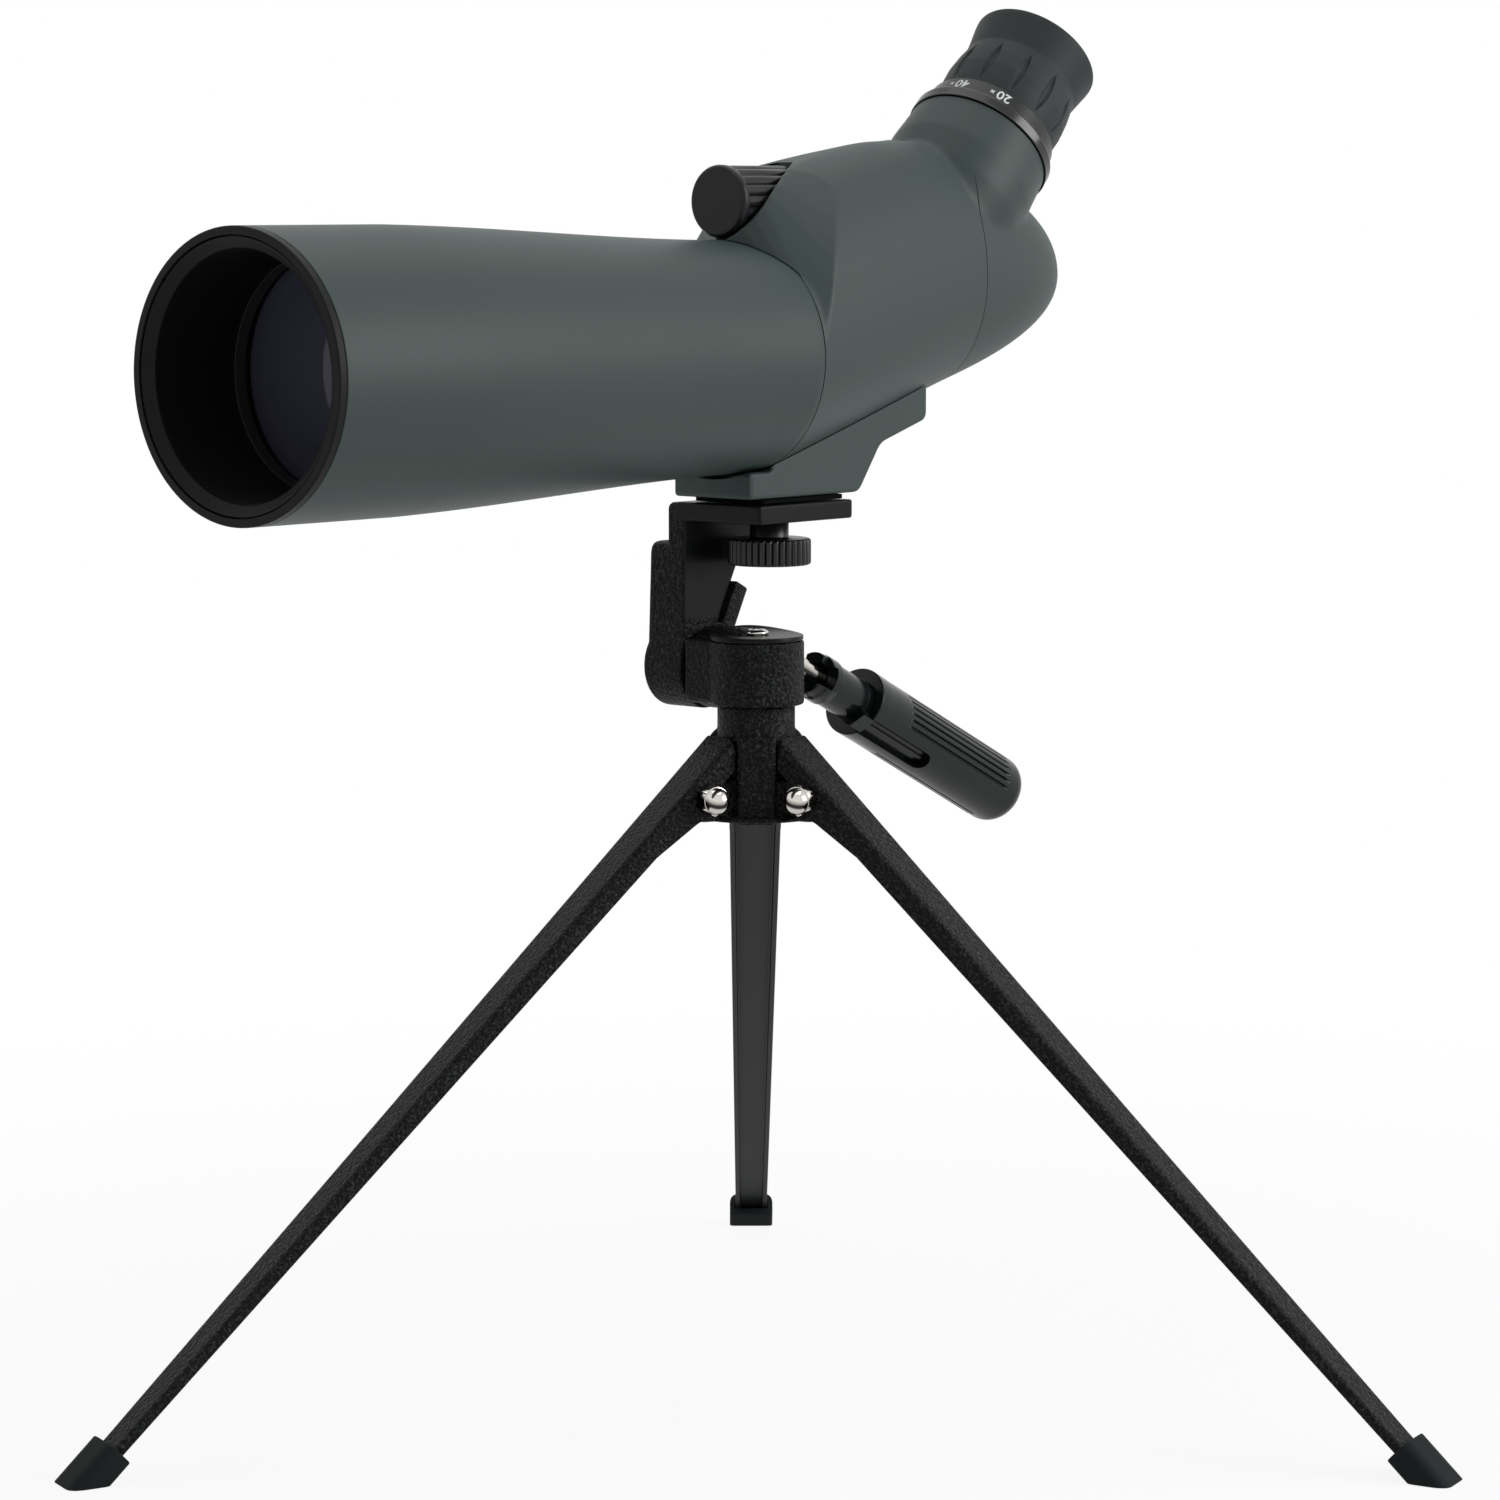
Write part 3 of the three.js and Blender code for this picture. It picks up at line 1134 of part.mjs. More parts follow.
function group(parent, name, at = [0, 0, 0], turns = [0, 0, 0]) {
  const made = new THREE.Group();
  made.name = name;
  made.position.set(...at);
  made.rotation.set(turns[0] * degree, turns[1] * degree, turns[2] * degree);
  parent.add(made);
  return made;
}

const tripod = group(root, 'tripod_frame', [0, 0, 0], [0, 0, 90 + tripodYaw]);
tripod.add(piece('tripod_hub', makeHub(), 'wrinkle'));
for (let i = 0; i < leg.count; i += 1) {
  const arm = group(tripod, `leg_turn_${i + 1}`, [0, 0, 0], [0, 0, fullTurn * i / leg.count]);
  const pivotPlace = [hub.pivotReach, 0, hub.pivotHeight];
  const pivot = group(arm, `leg_pivot_${i + 1}`, pivotPlace, [0, 90 - leg.splay, 0]);
  pivot.add(piece(`tripod_leg_${i + 1}`, makeLeg(), 'wrinkle'));
  pivot.add(piece(`rubber_foot_${i + 1}`, makeShoe(), 'rubber'));
  const nutTurn = i === 2 ? fullTurn / 2 : 0;
  const pin = group(arm, `leg_pin_${i + 1}`, pivotPlace, [0, 0, nutTurn]);
  pin.add(piece(`leg_bolt_${i + 1}`, makeLegBolt(), 'chrome'));
  pin.add(piece(`acorn_nut_${i + 1}`, makeLegNut(), 'chrome'));
}

const head = group(root, 'head_frame');
head.add(piece('pan_body', makePanBody(), 'wrinkle'));
head.add(piece('pan_disc', makeDisc(), 'satinBlack'));
head.add(piece('pan_screw', makePanScrew(), 'chrome'));
head.add(piece('tilt_bracket', makeBracket(), 'wrinkle'));
head.add(piece('platform_pad', makePad(), 'rubber'));
head.add(piece('tilt_washer', makeWasher(), 'steel'));
head.add(piece('tilt_bolt', makeTiltBolt(), 'steel'));
const wheelFrame = group(head, 'wheel_axis', [scopeSide, platformMiddle, platformTop - bracket.plate]);
wheelFrame.add(piece('clamp_wheel', makeWheel(), 'black'));
const handleFrame = group(head, 'handle_axis', [0, 0, handleRise], [-handle.slope, 0, 0]);
handleFrame.add(piece('handle_rod', makeHandleRod(), 'chrome'));
handleFrame.add(piece('handle_grip', makeHandleGrip(), 'black'));
handleFrame.add(piece('handle_pin', makeHandlePin(), 'steel'));

const scope = group(root, 'scope_frame', [scopeSide, 0, axisHeight]);
scope.add(piece('front_tube', makeFrontTube(), 'green'));
scope.add(piece('objective_ring', makeObjectiveRing(), 'black'));
scope.add(piece('lens_hood', makeHood(), 'matt'));
scope.add(piece('lens_cell', makeLensCell(), 'matt'));
scope.add(piece('lens_retainer', makeRetainer(), 'black'));
const lenses = makeObjectiveLenses();
scope.add(piece('crown_lens', lenses.crown, 'glass'));
scope.add(piece('lens_spacer', lenses.spacer, 'brass'));
scope.add(piece('flint_lens', lenses.flint, 'glass'));
const [frontHole, rearHole] = [baffle.firstHoleShare, baffle.secondHoleShare];
scope.add(piece('front_baffle', makeBaffle(baffle.firstPlace, tube.frontRadius * frontHole), 'matt'));
scope.add(piece('rear_baffle', makeBaffle(baffle.secondPlace, tube.frontRadius * rearHole), 'matt'));
scope.add(piece('prism_housing', makeHousing(), 'green'));
scope.add(piece('rear_cover', makeRearCover(), 'green'));
scope.add(piece('mounting_foot', makeFoot(), 'green'));
scope.add(piece('tripod_bush', makeBush(), 'brass'));
scope.add(piece('erecting_prism', makePrism(), 'glass'));
scope.add(piece('prism_seat', makePrismSeat(), 'steel'));
const knobFrame = group(scope, 'knob_axis', [0, knob.front, knobHeight]);
knobFrame.add(piece('focus_knob', makeKnob(), 'satinBlack'));
knobFrame.add(piece('focus_screw', makeFocusScrew(), 'steel'));
const carriageFrame = group(scope, 'carriage_axis', [0, carriagePlace, 0]);
carriageFrame.add(piece('focus_carriage', makeCarriage(), 'black'));
carriageFrame.add(piece('focus_lens', makeFocusLens(), 'glass'));

const eyeFrame = group(scope, 'eyepiece_axis', [0, eye.centreY, 0], [eye.angle, 0, 0]);
eyeFrame.add(piece('eyepiece_collar', makeCollar(), 'black'));
eyeFrame.add(piece('eyepiece_barrel', makeBarrel(), 'black'));
eyeFrame.add(piece('eye_lens', makeEyeLens(), 'glass'));
eyeFrame.add(piece('eye_lens_ring', makeEyeLensRing(), 'black'));
eyeFrame.add(piece('zoom_scale_ring', makeScaleRing(), 'black'));
eyeFrame.add(piece('zoom_grip', makeGrip(), 'rubber'));
for (const [name, place] of [['front', cell.frontPlace], ['rear', cell.rearPlace]]) {
  const { holder, glass } = makeZoomCell(place);
  eyeFrame.add(piece(`${name}_zoom_cell`, holder, 'black'));
  eyeFrame.add(piece(`${name}_zoom_lens`, glass, 'glass'));
}

// The whole stands centred over the origin, its feet on z = 0
root.updateMatrixWorld(true);
const bounds = new THREE.Box3().setFromObject(root, true);
const middle = bounds.getCenter(new THREE.Vector3());
root.position.set(-middle.x, -middle.y, -bounds.min.z);
root.updateMatrixWorld(true);

export default root;
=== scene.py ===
import bmesh
import bpy
import numpy as np
from mathutils import Matrix, Vector


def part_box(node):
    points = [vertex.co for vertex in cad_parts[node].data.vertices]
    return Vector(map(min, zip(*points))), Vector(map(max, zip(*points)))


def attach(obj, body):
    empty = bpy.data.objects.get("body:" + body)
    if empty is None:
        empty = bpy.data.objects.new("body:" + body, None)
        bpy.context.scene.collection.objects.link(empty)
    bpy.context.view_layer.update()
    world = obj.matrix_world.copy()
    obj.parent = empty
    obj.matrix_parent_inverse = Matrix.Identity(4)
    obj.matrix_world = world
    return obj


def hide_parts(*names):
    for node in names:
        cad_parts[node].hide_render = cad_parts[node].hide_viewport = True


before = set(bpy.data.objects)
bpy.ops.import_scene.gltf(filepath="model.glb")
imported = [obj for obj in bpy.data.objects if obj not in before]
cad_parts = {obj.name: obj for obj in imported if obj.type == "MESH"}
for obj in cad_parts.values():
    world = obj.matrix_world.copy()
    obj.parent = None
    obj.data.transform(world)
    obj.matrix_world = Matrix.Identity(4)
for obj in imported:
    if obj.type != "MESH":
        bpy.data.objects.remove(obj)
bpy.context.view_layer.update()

# Front tube. Thin aluminium casing that carries the objective, straight in front and drawn
# down to the prism housing behind, where its spigot enters. Painted grey-green with a fine,
# slightly pebbled coat.
millimetre = 0.001
screw_low, screw_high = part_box("pan_screw")
column = np.array([(screw_low.x + screw_high.x) / 2, (screw_low.y + screw_high.y) / 2, 0]) / millimetre
scope_side = -3.9
scope_axis = np.array([scope_side, 0.0, 297.1])
rearwards = np.array([0.0, 1.0, 0.0])


def eased(corners, radius, steps=5, closed=True):
    """Rounds the corners of an outline: corner c becomes the curve
    (1-t)^2 a + 2t(1-t) c + t^2 b, with a and b one radius before and after c on its two sides,
    and a further point just outside a and b keeps the flats flat."""
    corners = np.asarray(corners, float)
    before, after = np.roll(corners, 1, 0), np.roll(corners, -1, 0)
    back = np.linalg.norm(before - corners, axis=1)
    ahead = np.linalg.norm(after - corners, axis=1)
    near = np.minimum(np.broadcast_to(radius, len(corners)), 0.44 * np.minimum(back, ahead))
    to_back = (before - corners) / back[:, None]
    to_ahead = (after - corners) / ahead[:, None]
    a, b = corners + to_back * near[:, None], corners + to_ahead * near[:, None]
    t = np.linspace(0, 1, steps)[None, :, None]
    curve = (1 - t) ** 2 * a[:, None] + 2 * t * (1 - t) * corners[:, None] + t ** 2 * b[:, None]
    hold = 0.12 * near[:, None]
    curve = np.concatenate([(a + to_back * hold)[:, None], curve, (b + to_ahead * hold)[:, None]], 1)
    if closed:
        return curve.reshape(-1, 2)
    return np.vstack([corners[:1], curve[1:-1].reshape(-1, 2), corners[-1:]])


def skin(name, rows, ring=False):
    """A piece from a grid of points in millimetres from the foot of the column. Each row is a
    closed loop and four neighbours make a face; the rows close on themselves as a ring, or
    else the first and the last row are filled."""
    count, across = rows.shape[:2]
    index = np.arange(count * across).reshape(count, across)
    near, far = (index, np.roll(index, -1, 0)) if ring else (index[:-1], index[1:])
    faces = np.stack([near, np.roll(near, -1, 1), np.roll(far, -1, 1), far], -1).reshape(-1, 4).tolist()
    if not ring:
        faces += [index[0, ::-1].tolist(), index[-1].tolist()]
    mesh = bpy.data.meshes.new(name)
    mesh.from_pydata(((rows.reshape(-1, 3) + column) * millimetre).tolist(), [], faces)
    work = bmesh.new()
    work.from_mesh(mesh)
    bmesh.ops.remove_doubles(work, verts=work.verts, dist=2e-6)
    bmesh.ops.dissolve_degenerate(work, edges=work.edges, dist=1e-7)
    bmesh.ops.recalc_face_normals(work, faces=work.faces)
    work.to_mesh(mesh)
    work.free()
    piece = bpy.data.objects.new(name, mesh)
    bpy.context.scene.collection.objects.link(piece)
    return piece


def turned(name, profile, start=scope_axis, along=rearwards, steps=192, ring=False):
    """Surface of revolution: the profile pair (s, r) becomes the circle
    start + s a + r (u cos t + v sin t) about the axis a, with u and v square to a."""
    along = np.array(along, float) / np.linalg.norm(along)
    guide = np.array([0.0, 0.0, 1.0]) if abs(along[0]) > 0.7 else np.array([1.0, 0.0, 0.0])
    across = guide - along * guide.dot(along)
    across /= np.linalg.norm(across)
    t = np.linspace(0, 2 * np.pi, steps, endpoint=False)
    circle = np.cos(t)[:, None] * across + np.sin(t)[:, None] * np.cross(along, across)
    s, r = np.asarray(profile, float).T
    return skin(name, start + s[:, None, None] * along + r[:, None, None] * circle, ring)


def shader_group(name, inputs, outputs):
    """An empty shader node group with named value and colour sockets."""
    group = bpy.data.node_groups.new(name, "ShaderNodeTree")
    kinds = {"value": "NodeSocketFloat", "colour": "NodeSocketColor"}
    for way, sockets in (("INPUT", inputs), ("OUTPUT", outputs)):
        for label, kind in sockets:
            group.interface.new_socket(name=label, in_out=way, socket_type=kinds[kind])
    return group, group.nodes.new("NodeGroupInput"), group.nodes.new("NodeGroupOutput")


def node(nodes, kind, values=(), **settings):
    """A new shader node with its settings and the values of its unlinked inputs."""
    made = nodes.new("ShaderNode" + kind)
    for label, setting in settings.items():
        setattr(made, label, setting)
    for socket, value in dict(values).items():
        made.inputs[socket].default_value = value
    return made


# Handling: the slight cloudiness of a surface that has been held and wiped
handling, taken, given = shader_group("handling", [("Colour", "colour"), ("Cloud", "value"),
                                                   ("Roughness", "value"), ("Spread", "value"),
                                                   ("Scale", "value")],
                                      [("Colour", "colour"), ("Roughness", "value")])
nodes, links = handling.nodes, handling.links
place = node(nodes, "TexCoord")
cloud = node(nodes, "TexNoise", {"Detail": 4})
links.new(place.outputs["Object"], cloud.inputs["Vector"])
links.new(taken.outputs["Scale"], cloud.inputs["Scale"])
centred = node(nodes, "Math", {1: 0.5}, operation="SUBTRACT")
links.new(cloud.outputs["Fac"], centred.inputs[0])
lift = node(nodes, "Math", {2: 1}, operation="MULTIPLY_ADD")
links.new(centred.outputs[0], lift.inputs[0])
links.new(taken.outputs["Cloud"], lift.inputs[1])
tint = node(nodes, "HueSaturation")
links.new(lift.outputs[0], tint.inputs["Value"])
links.new(taken.outputs["Colour"], tint.inputs["Color"])
links.new(tint.outputs["Color"], given.inputs["Colour"])
uneven = node(nodes, "Math", operation="MULTIPLY_ADD")
links.new(centred.outputs[0], uneven.inputs[0])
links.new(taken.outputs["Spread"], uneven.inputs[1])
links.new(taken.outputs["Roughness"], uneven.inputs[2])
links.new(uneven.outputs[0], given.inputs["Roughness"])

# Grain: the height of a sprayed, moulded or blasted skin, in two sizes of pebble
grain, taken, given = shader_group(
    "grain", [("Scale", "value"), ("Coarse", "value")], [("Height", "value")])
nodes, links = grain.nodes, grain.links
place = node(nodes, "TexCoord")
fine_pebble = node(nodes, "TexNoise")
coarse_pebble = node(nodes, "TexNoise")
smaller = node(nodes, "Math", {1: 0.3}, operation="MULTIPLY")
links.new(taken.outputs["Scale"], smaller.inputs[0])
for pebble, scale in ((fine_pebble, taken.outputs["Scale"]), (coarse_pebble, smaller.outputs[0])):
    pebble.inputs["Detail"].default_value = 2
    links.new(place.outputs["Object"], pebble.inputs["Vector"])
    links.new(scale, pebble.inputs["Scale"])
both = node(nodes, "Math", operation="MULTIPLY_ADD")
links.new(coarse_pebble.outputs["Fac"], both.inputs[0])
links.new(taken.outputs["Coarse"], both.inputs[1])
links.new(fine_pebble.outputs["Fac"], both.inputs[2])
links.new(both.outputs[0], given.inputs["Height"])


def coat_of(name, colour, roughness, metallic=0.0, specular=0.5, cloud=0.05, spread=0.06, cloud_scale=22,
            pebble=2600, coarse=0.4, depth=0.01, strength=0.3):
    """A finish: Principled surface whose colour and roughness pass through handling, with the
    grain's height as its bump. The colour is given as eight-bit numbers as they show."""
    material = bpy.data.materials.new(name)
    material.use_nodes = True
    nodes, links = material.node_tree.nodes, material.node_tree.links
    shader = nodes["Principled BSDF"]
    shader.inputs["Metallic"].default_value = metallic
    shader.inputs["Specular IOR Level"].default_value = specular
    linear = (np.array(colour) / 255 + 0.055) / 1.055
    worn = node(nodes, "Group", {"Colour": (*(linear ** 2.4), 1), "Cloud": cloud, "Roughness": roughness,
                                 "Spread": spread, "Scale": cloud_scale}, node_tree=handling)
    links.new(worn.outputs["Colour"], shader.inputs["Base Color"])
    links.new(worn.outputs["Roughness"], shader.inputs["Roughness"])
    pebbles = node(nodes, "Group", {"Scale": pebble, "Coarse": coarse}, node_tree=grain)
    bump = node(nodes, "Bump", {"Strength": strength, "Distance": depth * millimetre})
    links.new(pebbles.outputs["Height"], bump.inputs["Height"])
    links.new(bump.outputs["Normal"], shader.inputs["Normal"])
    return material


def fitted(piece, body, material, slot, *replaced, crease=32):
    """Gives a piece its smooth skin, its finish and its body; its slot argument is not used."""
    mesh = piece.data
    mesh.shade_smooth()
    mesh.set_sharp_from_angle(angle=np.radians(crease))
    mesh.materials.clear()
    mesh.materials.append(material)
    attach(piece, body)
    if replaced:
        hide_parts(*replaced)
    return piece


def dressed(material, *names):
    """A finish for nodes of the frame that keep their own shape."""
    for name in names:
        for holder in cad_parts[name].material_slots:
            holder.material = material


def second_finish(piece, material, test):
    """Gives a second finish to the faces for which test(middles, normals) holds, in millimetres
    from the foot of the column."""
    faces = piece.data.polygons
    middles, normals = np.empty(len(faces) * 3), np.empty(len(faces) * 3)
    faces.foreach_get("center", middles)
    faces.foreach_get("normal", normals)
    piece.data.materials.append(material)
    chosen = test(middles.reshape(-1, 3) / millimetre - column, normals.reshape(-1, 3))
    faces.foreach_set("material_index", chosen.astype(np.int32))


green_paint = coat_of("green_paint", (51, 64, 62), 0.5, specular=0.3, cloud=0.04, pebble=2300, depth=0.012)
tube_front, tube_end, front_radius, end_radius, tube_wall = -194.2, -4.3, 38.0, 33.0, 2.0


def tube_radius(y):
    """Radius along the tube: straight, then the mean of a ramp and a cosine step, then straight."""
    share = np.clip((y + 145.5) / 125.5, 0, 1)
    return front_radius + (end_radius - front_radius) * (share + (1 - np.cos(np.pi * share)) / 2) / 2


def tube_profile():
    """Outer wall rearwards, the spigot that enters the housing, and the bore forwards again."""
    along = np.linspace(tube_front + 0.3, tube_end - 0.3, 90)
    outside = np.stack([along, tube_radius(along)], 1)
    lip = eased([[tube_front, 36.4], [tube_front, 38], [tube_front + 1, 38]], 0.3, closed=False)[:-1]
    spigot = np.array([[tube_end, 32.9], [tube_end, 30.4], [3.7, 30.4], [3.7, 28.7]])
    bore = np.stack([along[::-9], tube_radius(along[::-9]) - tube_wall], 1)
    return np.vstack([lip, outside, spigot, bore, [[tube_front, 36]]])


front_tube = turned("front_tube_casing", tube_profile(), steps=288, ring=True)
fitted(front_tube, "scope", green_paint, "green", "front_tube")

# Objective. A black turned rim screwed into the tube's mouth, with a plain face and a pin hole
# where it meets the hood; the hood has a dark grey front cone and a matt black bore, and the
# retaining ring and the coated front lens lie behind it.
rim_front, pin_turn, pin_radius = -196.9, 137, 35.5
anodised = coat_of("rim_anodised", (26, 27, 27), 0.42, specular=0.1, cloud=0.08, pebble=3000, depth=0.008)
matt_black = coat_of("matt_black", (9, 9, 10), 0.92, specular=0.12, cloud=0.2, pebble=2600, depth=0.02)


def rim_profile():
    """Section of the rim: rounded outer lip, plain face, recess for the hood, and the spigot."""
    face = [[rim_front + 2.4, 35.7], [rim_front + 2.4, 38], [rim_front, 38], [rim_front, 35.75],
            [rim_front + 2.2, 35.75], [rim_front + 2.2, 34.6], [rim_front + 9.4, 34.6],
            [rim_front + 9.4, 35.7]]
    return eased(face, [0.1, 0.2, 0.5, 0.15, 0.05, 0.05, 0.2, 0.2])


def settled(piece, spent=()):
    """Makes a piece's modifiers part of its mesh and removes the tools that it used."""
    graph = bpy.context.evaluated_depsgraph_get()
    old = piece.data
    piece.data = bpy.data.meshes.new_from_object(piece.evaluated_get(graph))
    piece.modifiers.clear()
    bpy.data.meshes.remove(old)
    for tool in spent:
        mesh = tool.data
        bpy.data.objects.remove(tool)
        bpy.data.meshes.remove(mesh)
    return piece


def worked(piece, operation, *tools):
    """Joins tools to a piece or cuts them out of it."""
    for tool in tools:
        step = piece.modifiers.new(operation, "BOOLEAN")
        step.operation = operation
        step.object = tool
        step.solver = "MANIFOLD"
    return settled(piece, tools)


def rod(radius, low, high, start=scope_axis, along=rearwards, steps=64):
    """A plain round bar, used as a pin, a drill or a cutter."""
    return turned("bar", [[low, 0], [low, radius], [high, radius], [high, 0]], start, along, steps)


objective_rim = turned("objective_rim", rim_profile(), steps=288, ring=True)
pin_angle = np.radians(pin_turn)
pin_place = scope_axis + pin_radius * np.array([np.cos(pin_angle), 0, np.sin(pin_angle)])
worked(objective_rim, "DIFFERENCE", rod(0.5, rim_front - 1, rim_front + 1.2, pin_place))
fitted(objective_rim, "scope", anodised, "rim_black", "objective_ring")

hood_start, hood_length, hood_radius = rim_front + 0.4, 27.9, 32.2
hood_section = eased([[hood_start, 35.35], [hood_start, 35.0], [hood_start + 2.3, hood_radius],
                      [hood_start + hood_length, hood_radius], [hood_start + hood_length, 33.7],
                      [hood_start + 6, 33.7], [hood_start + 6, 34.3], [hood_start + 1.5, 34.3],
                      [hood_start + 1.5, 35.35]], [0.15, 0.15, 0.5, 0.1, 0.1, 0.1, 0.1, 0.05, 0.15])
hood_sleeve = turned("hood_sleeve", hood_section, steps=256, ring=True)
worked(hood_sleeve, "DIFFERENCE", rod(0.5, rim_front - 1, rim_front + 1.2, pin_place))
fitted(hood_sleeve, "scope", matt_black, "baffle_black", "lens_hood")
second_finish(hood_sleeve, anodised, lambda middles, normals: middles[:, 1] < hood_start + 2.2)

lens_radius, retainer_start = 30.9, hood_start + hood_length + 0.2
retainer_section = eased([[retainer_start, lens_radius], [retainer_start + 3.2, lens_radius],
                          [retainer_start + 3.2, lens_radius - 1], [retainer_start, lens_radius - 0.5]], 0.12)
retainer = turned("retaining_ring", retainer_section, steps=256, ring=True)
retainer_black = coat_of("retainer_black", (40, 41, 43), 0.38, specular=0.3, pebble=3000, depth=0.01)
fitted(retainer, "scope", retainer_black, "rim_black", "lens_retainer")

# Coated glass: a deep navy base colour, mottled by noise, that paints the coating's bluish reflection and the
# reflections of the lenses behind it as diffuse colour
glass = bpy.data.materials.new("coated_glass")
glass.use_nodes = True
nodes, links = glass.node_tree.nodes, glass.node_tree.links
shader = nodes["Principled BSDF"]
shader.inputs["Transmission Weight"].default_value = 0.25
shader.inputs["IOR"].default_value = 1.3
painted_reflection_mottle = node(nodes, "TexNoise", {"Scale": 30})
where = node(nodes, "TexCoord")
links.new(where.outputs["Object"], painted_reflection_mottle.inputs["Vector"])
shade = node(nodes, "ValToRGB")
shade.color_ramp.elements[0].color = (0.105, 0.105, 0.16, 1)
shade.color_ramp.elements[1].color = (0.12, 0.12, 0.18, 1)
links.new(painted_reflection_mottle.outputs["Fac"], shade.inputs["Fac"])
links.new(shade.outputs["Color"], shader.inputs["Base Color"])
smear = node(nodes, "MapRange", {"To Min": 0.01, "To Max": 0.04})
links.new(painted_reflection_mottle.outputs["Fac"], smear.inputs["Value"])
links.new(smear.outputs["Result"], shader.inputs["Roughness"])


def lens_profile(radius, front, back, front_sag, back_sag, steps=18):
    """Section of a lens from pole to pole: each face is a parabola, place = edge - sag (1 - (r/R)^2)."""
    share = np.linspace(0, 1, steps)
    first = np.stack([front - front_sag * (1 - share ** 2), radius * share], 1)
    second = np.stack([back + back_sag * (1 - share[::-1] ** 2), radius * share[::-1]], 1)
    return np.vstack([first, second])


front_edge = retainer_start + 5.9
front_lens = turned("front_lens", lens_profile(lens_radius, front_edge, front_edge + 2.6, 2.4, 2.4),
                    steps=192)
fitted(front_lens, "scope", glass, "coated_glass", "crown_lens")
dressed(glass, "flint_lens", "focus_lens", "erecting_prism", "eye_lens", "front_zoom_lens", "rear_zoom_lens")
dressed(matt_black, "lens_cell", "front_baffle", "rear_baffle")
brass = coat_of("bush_brass", (176, 141, 74), 0.32, metallic=1.0, pebble=2800, depth=0.01)
dressed(brass, "lens_spacer", "tripod_bush")

# Prism housing and rear cover. Two aluminium castings that meet at a seam behind the knob: an
# egg-shaped body that grows upwards to the rear, with a leaning face and a nose round the focus
# knob, then a dome with the eyepiece neck. Both are painted as the tube is, in one go.
housing_front, seam, seam_gap, body_length, cover_length = -4.0, 81.0, 0.3, 85.3, 54.3
knob_height, eye_centre = 43.7, scope_axis + np.array([0.0, 47.0, 0.0])
eyewards = np.array([0.0, 1.0, 1.0]) / np.sqrt(2)


def egg_rows(along, rise, inset=0.0, steps=200):
    """Rows of the body's section: x = w cos t, z = m + h sin t, where h is the upper half
    height for t in (0, pi) and the lower one otherwise; w, m and the heights run with y."""
    y = np.asarray(along, float)[:, None]
    share = (y - tube_end) / body_length
    half, middle, bottom = 33 - 9.4 * share, 21.2 * share, -33 + 0.264 * (y - tube_end)
    t = np.linspace(0, 2 * np.pi, steps, endpoint=False)[None, :]
    height = np.where(np.sin(t) > 0, rise(y) - middle, middle - bottom) - inset
    x, z = (half - inset) * np.cos(t), middle + height * np.sin(t)
    return scope_axis + np.stack([x, np.broadcast_to(y, x.shape), z], -1)


def low_rise(y):
    """Top of the lower arch: a straight climb from the tube to the cover."""
    return 33 + 26 * (y - tube_end) / body_length


def high_rise(y):
    """Top of the upper arch: it climbs to its crest and falls a little to the seam."""
    climb, fall = np.clip((y - tube_end) / 69.3, 0, 1), np.clip((y - 65) / 16, 0, 1)
    level = 52.5 + 10.1 * climb - 2.1 * fall
    return level - 1.1 * np.exp(-((y - 65) / 9) ** 2)


def dome_rows(start, inset=0.0, steps=200, count=56):
    """Rows of the cover: the section at depth d shrinks by (1 - d^3.3)^(1/3.3) to a point, and
    the places lie closer together towards the end, as y = start + (end - start) sin t."""
    end = seam + cover_length - inset
    y = (start + (end - start) * np.sin(np.linspace(0, np.pi / 2, count)))[:, None]
    depth = np.clip((y - seam) / (cover_length - inset), 0, 1)
    scale = (1 - depth ** 3.3) ** (1 / 3.3)
    share = (y - tube_end) / body_length
    middle, upper = 21.2 + 0.3 * depth, 37.8 - 17 * depth
    t = np.linspace(0, 2 * np.pi, steps, endpoint=False)[None, :]
    height = np.where(np.sin(t) > 0, upper, middle + 33 - 0.264 * (y - tube_end)) - inset
    x, z = (33 - 9.4 * share - inset) * scale * np.cos(t), middle + height * scale * np.sin(t)
    return scope_axis + np.stack([x, np.broadcast_to(y, x.shape), z], -1)


def slab(name, outline, low, high, axis=0, origin=scope_axis):
    """A straight-sided body: the outline in the other two axes, carried from low to high."""
    outline = np.asarray(outline, float)
    rows = [np.insert(outline, axis, level, axis=1) for level in (low, high)]
    return skin(name, origin + np.array(rows))


def cast(piece, facet, passes, fill_passes=0, near=None):
    """Casting skin: the body is rebuilt in even facets and relaxed, which rounds its edges as a
    mould does. near gives each point a weight for further passes that fill a hollow corner."""
    rebuild = piece.modifiers.new("facets", "REMESH")
    rebuild.mode = "VOXEL"
    rebuild.voxel_size = facet * millimetre
    relax = piece.modifiers.new("relaxed", "SMOOTH")
    relax.factor, relax.iterations = 0.5, passes
    settled(piece)
    if near is not None:
        points = np.empty(len(piece.data.vertices) * 3)
        piece.data.vertices.foreach_get("co", points)
        weights = near(points.reshape(-1, 3) / millimetre - column)
        group = piece.vertex_groups.new(name="corner")
        for level in np.unique(np.round(weights, 1)):
            if level > 0:
                group.add(np.flatnonzero(np.round(weights, 1) == level).tolist(), float(level), "REPLACE")
        fill = piece.modifiers.new("filled", "SMOOTH")
        fill.factor, fill.iterations, fill.vertex_group = 0.6, fill_passes, "corner"
        settled(piece)
        piece.vertex_groups.clear()
    return piece


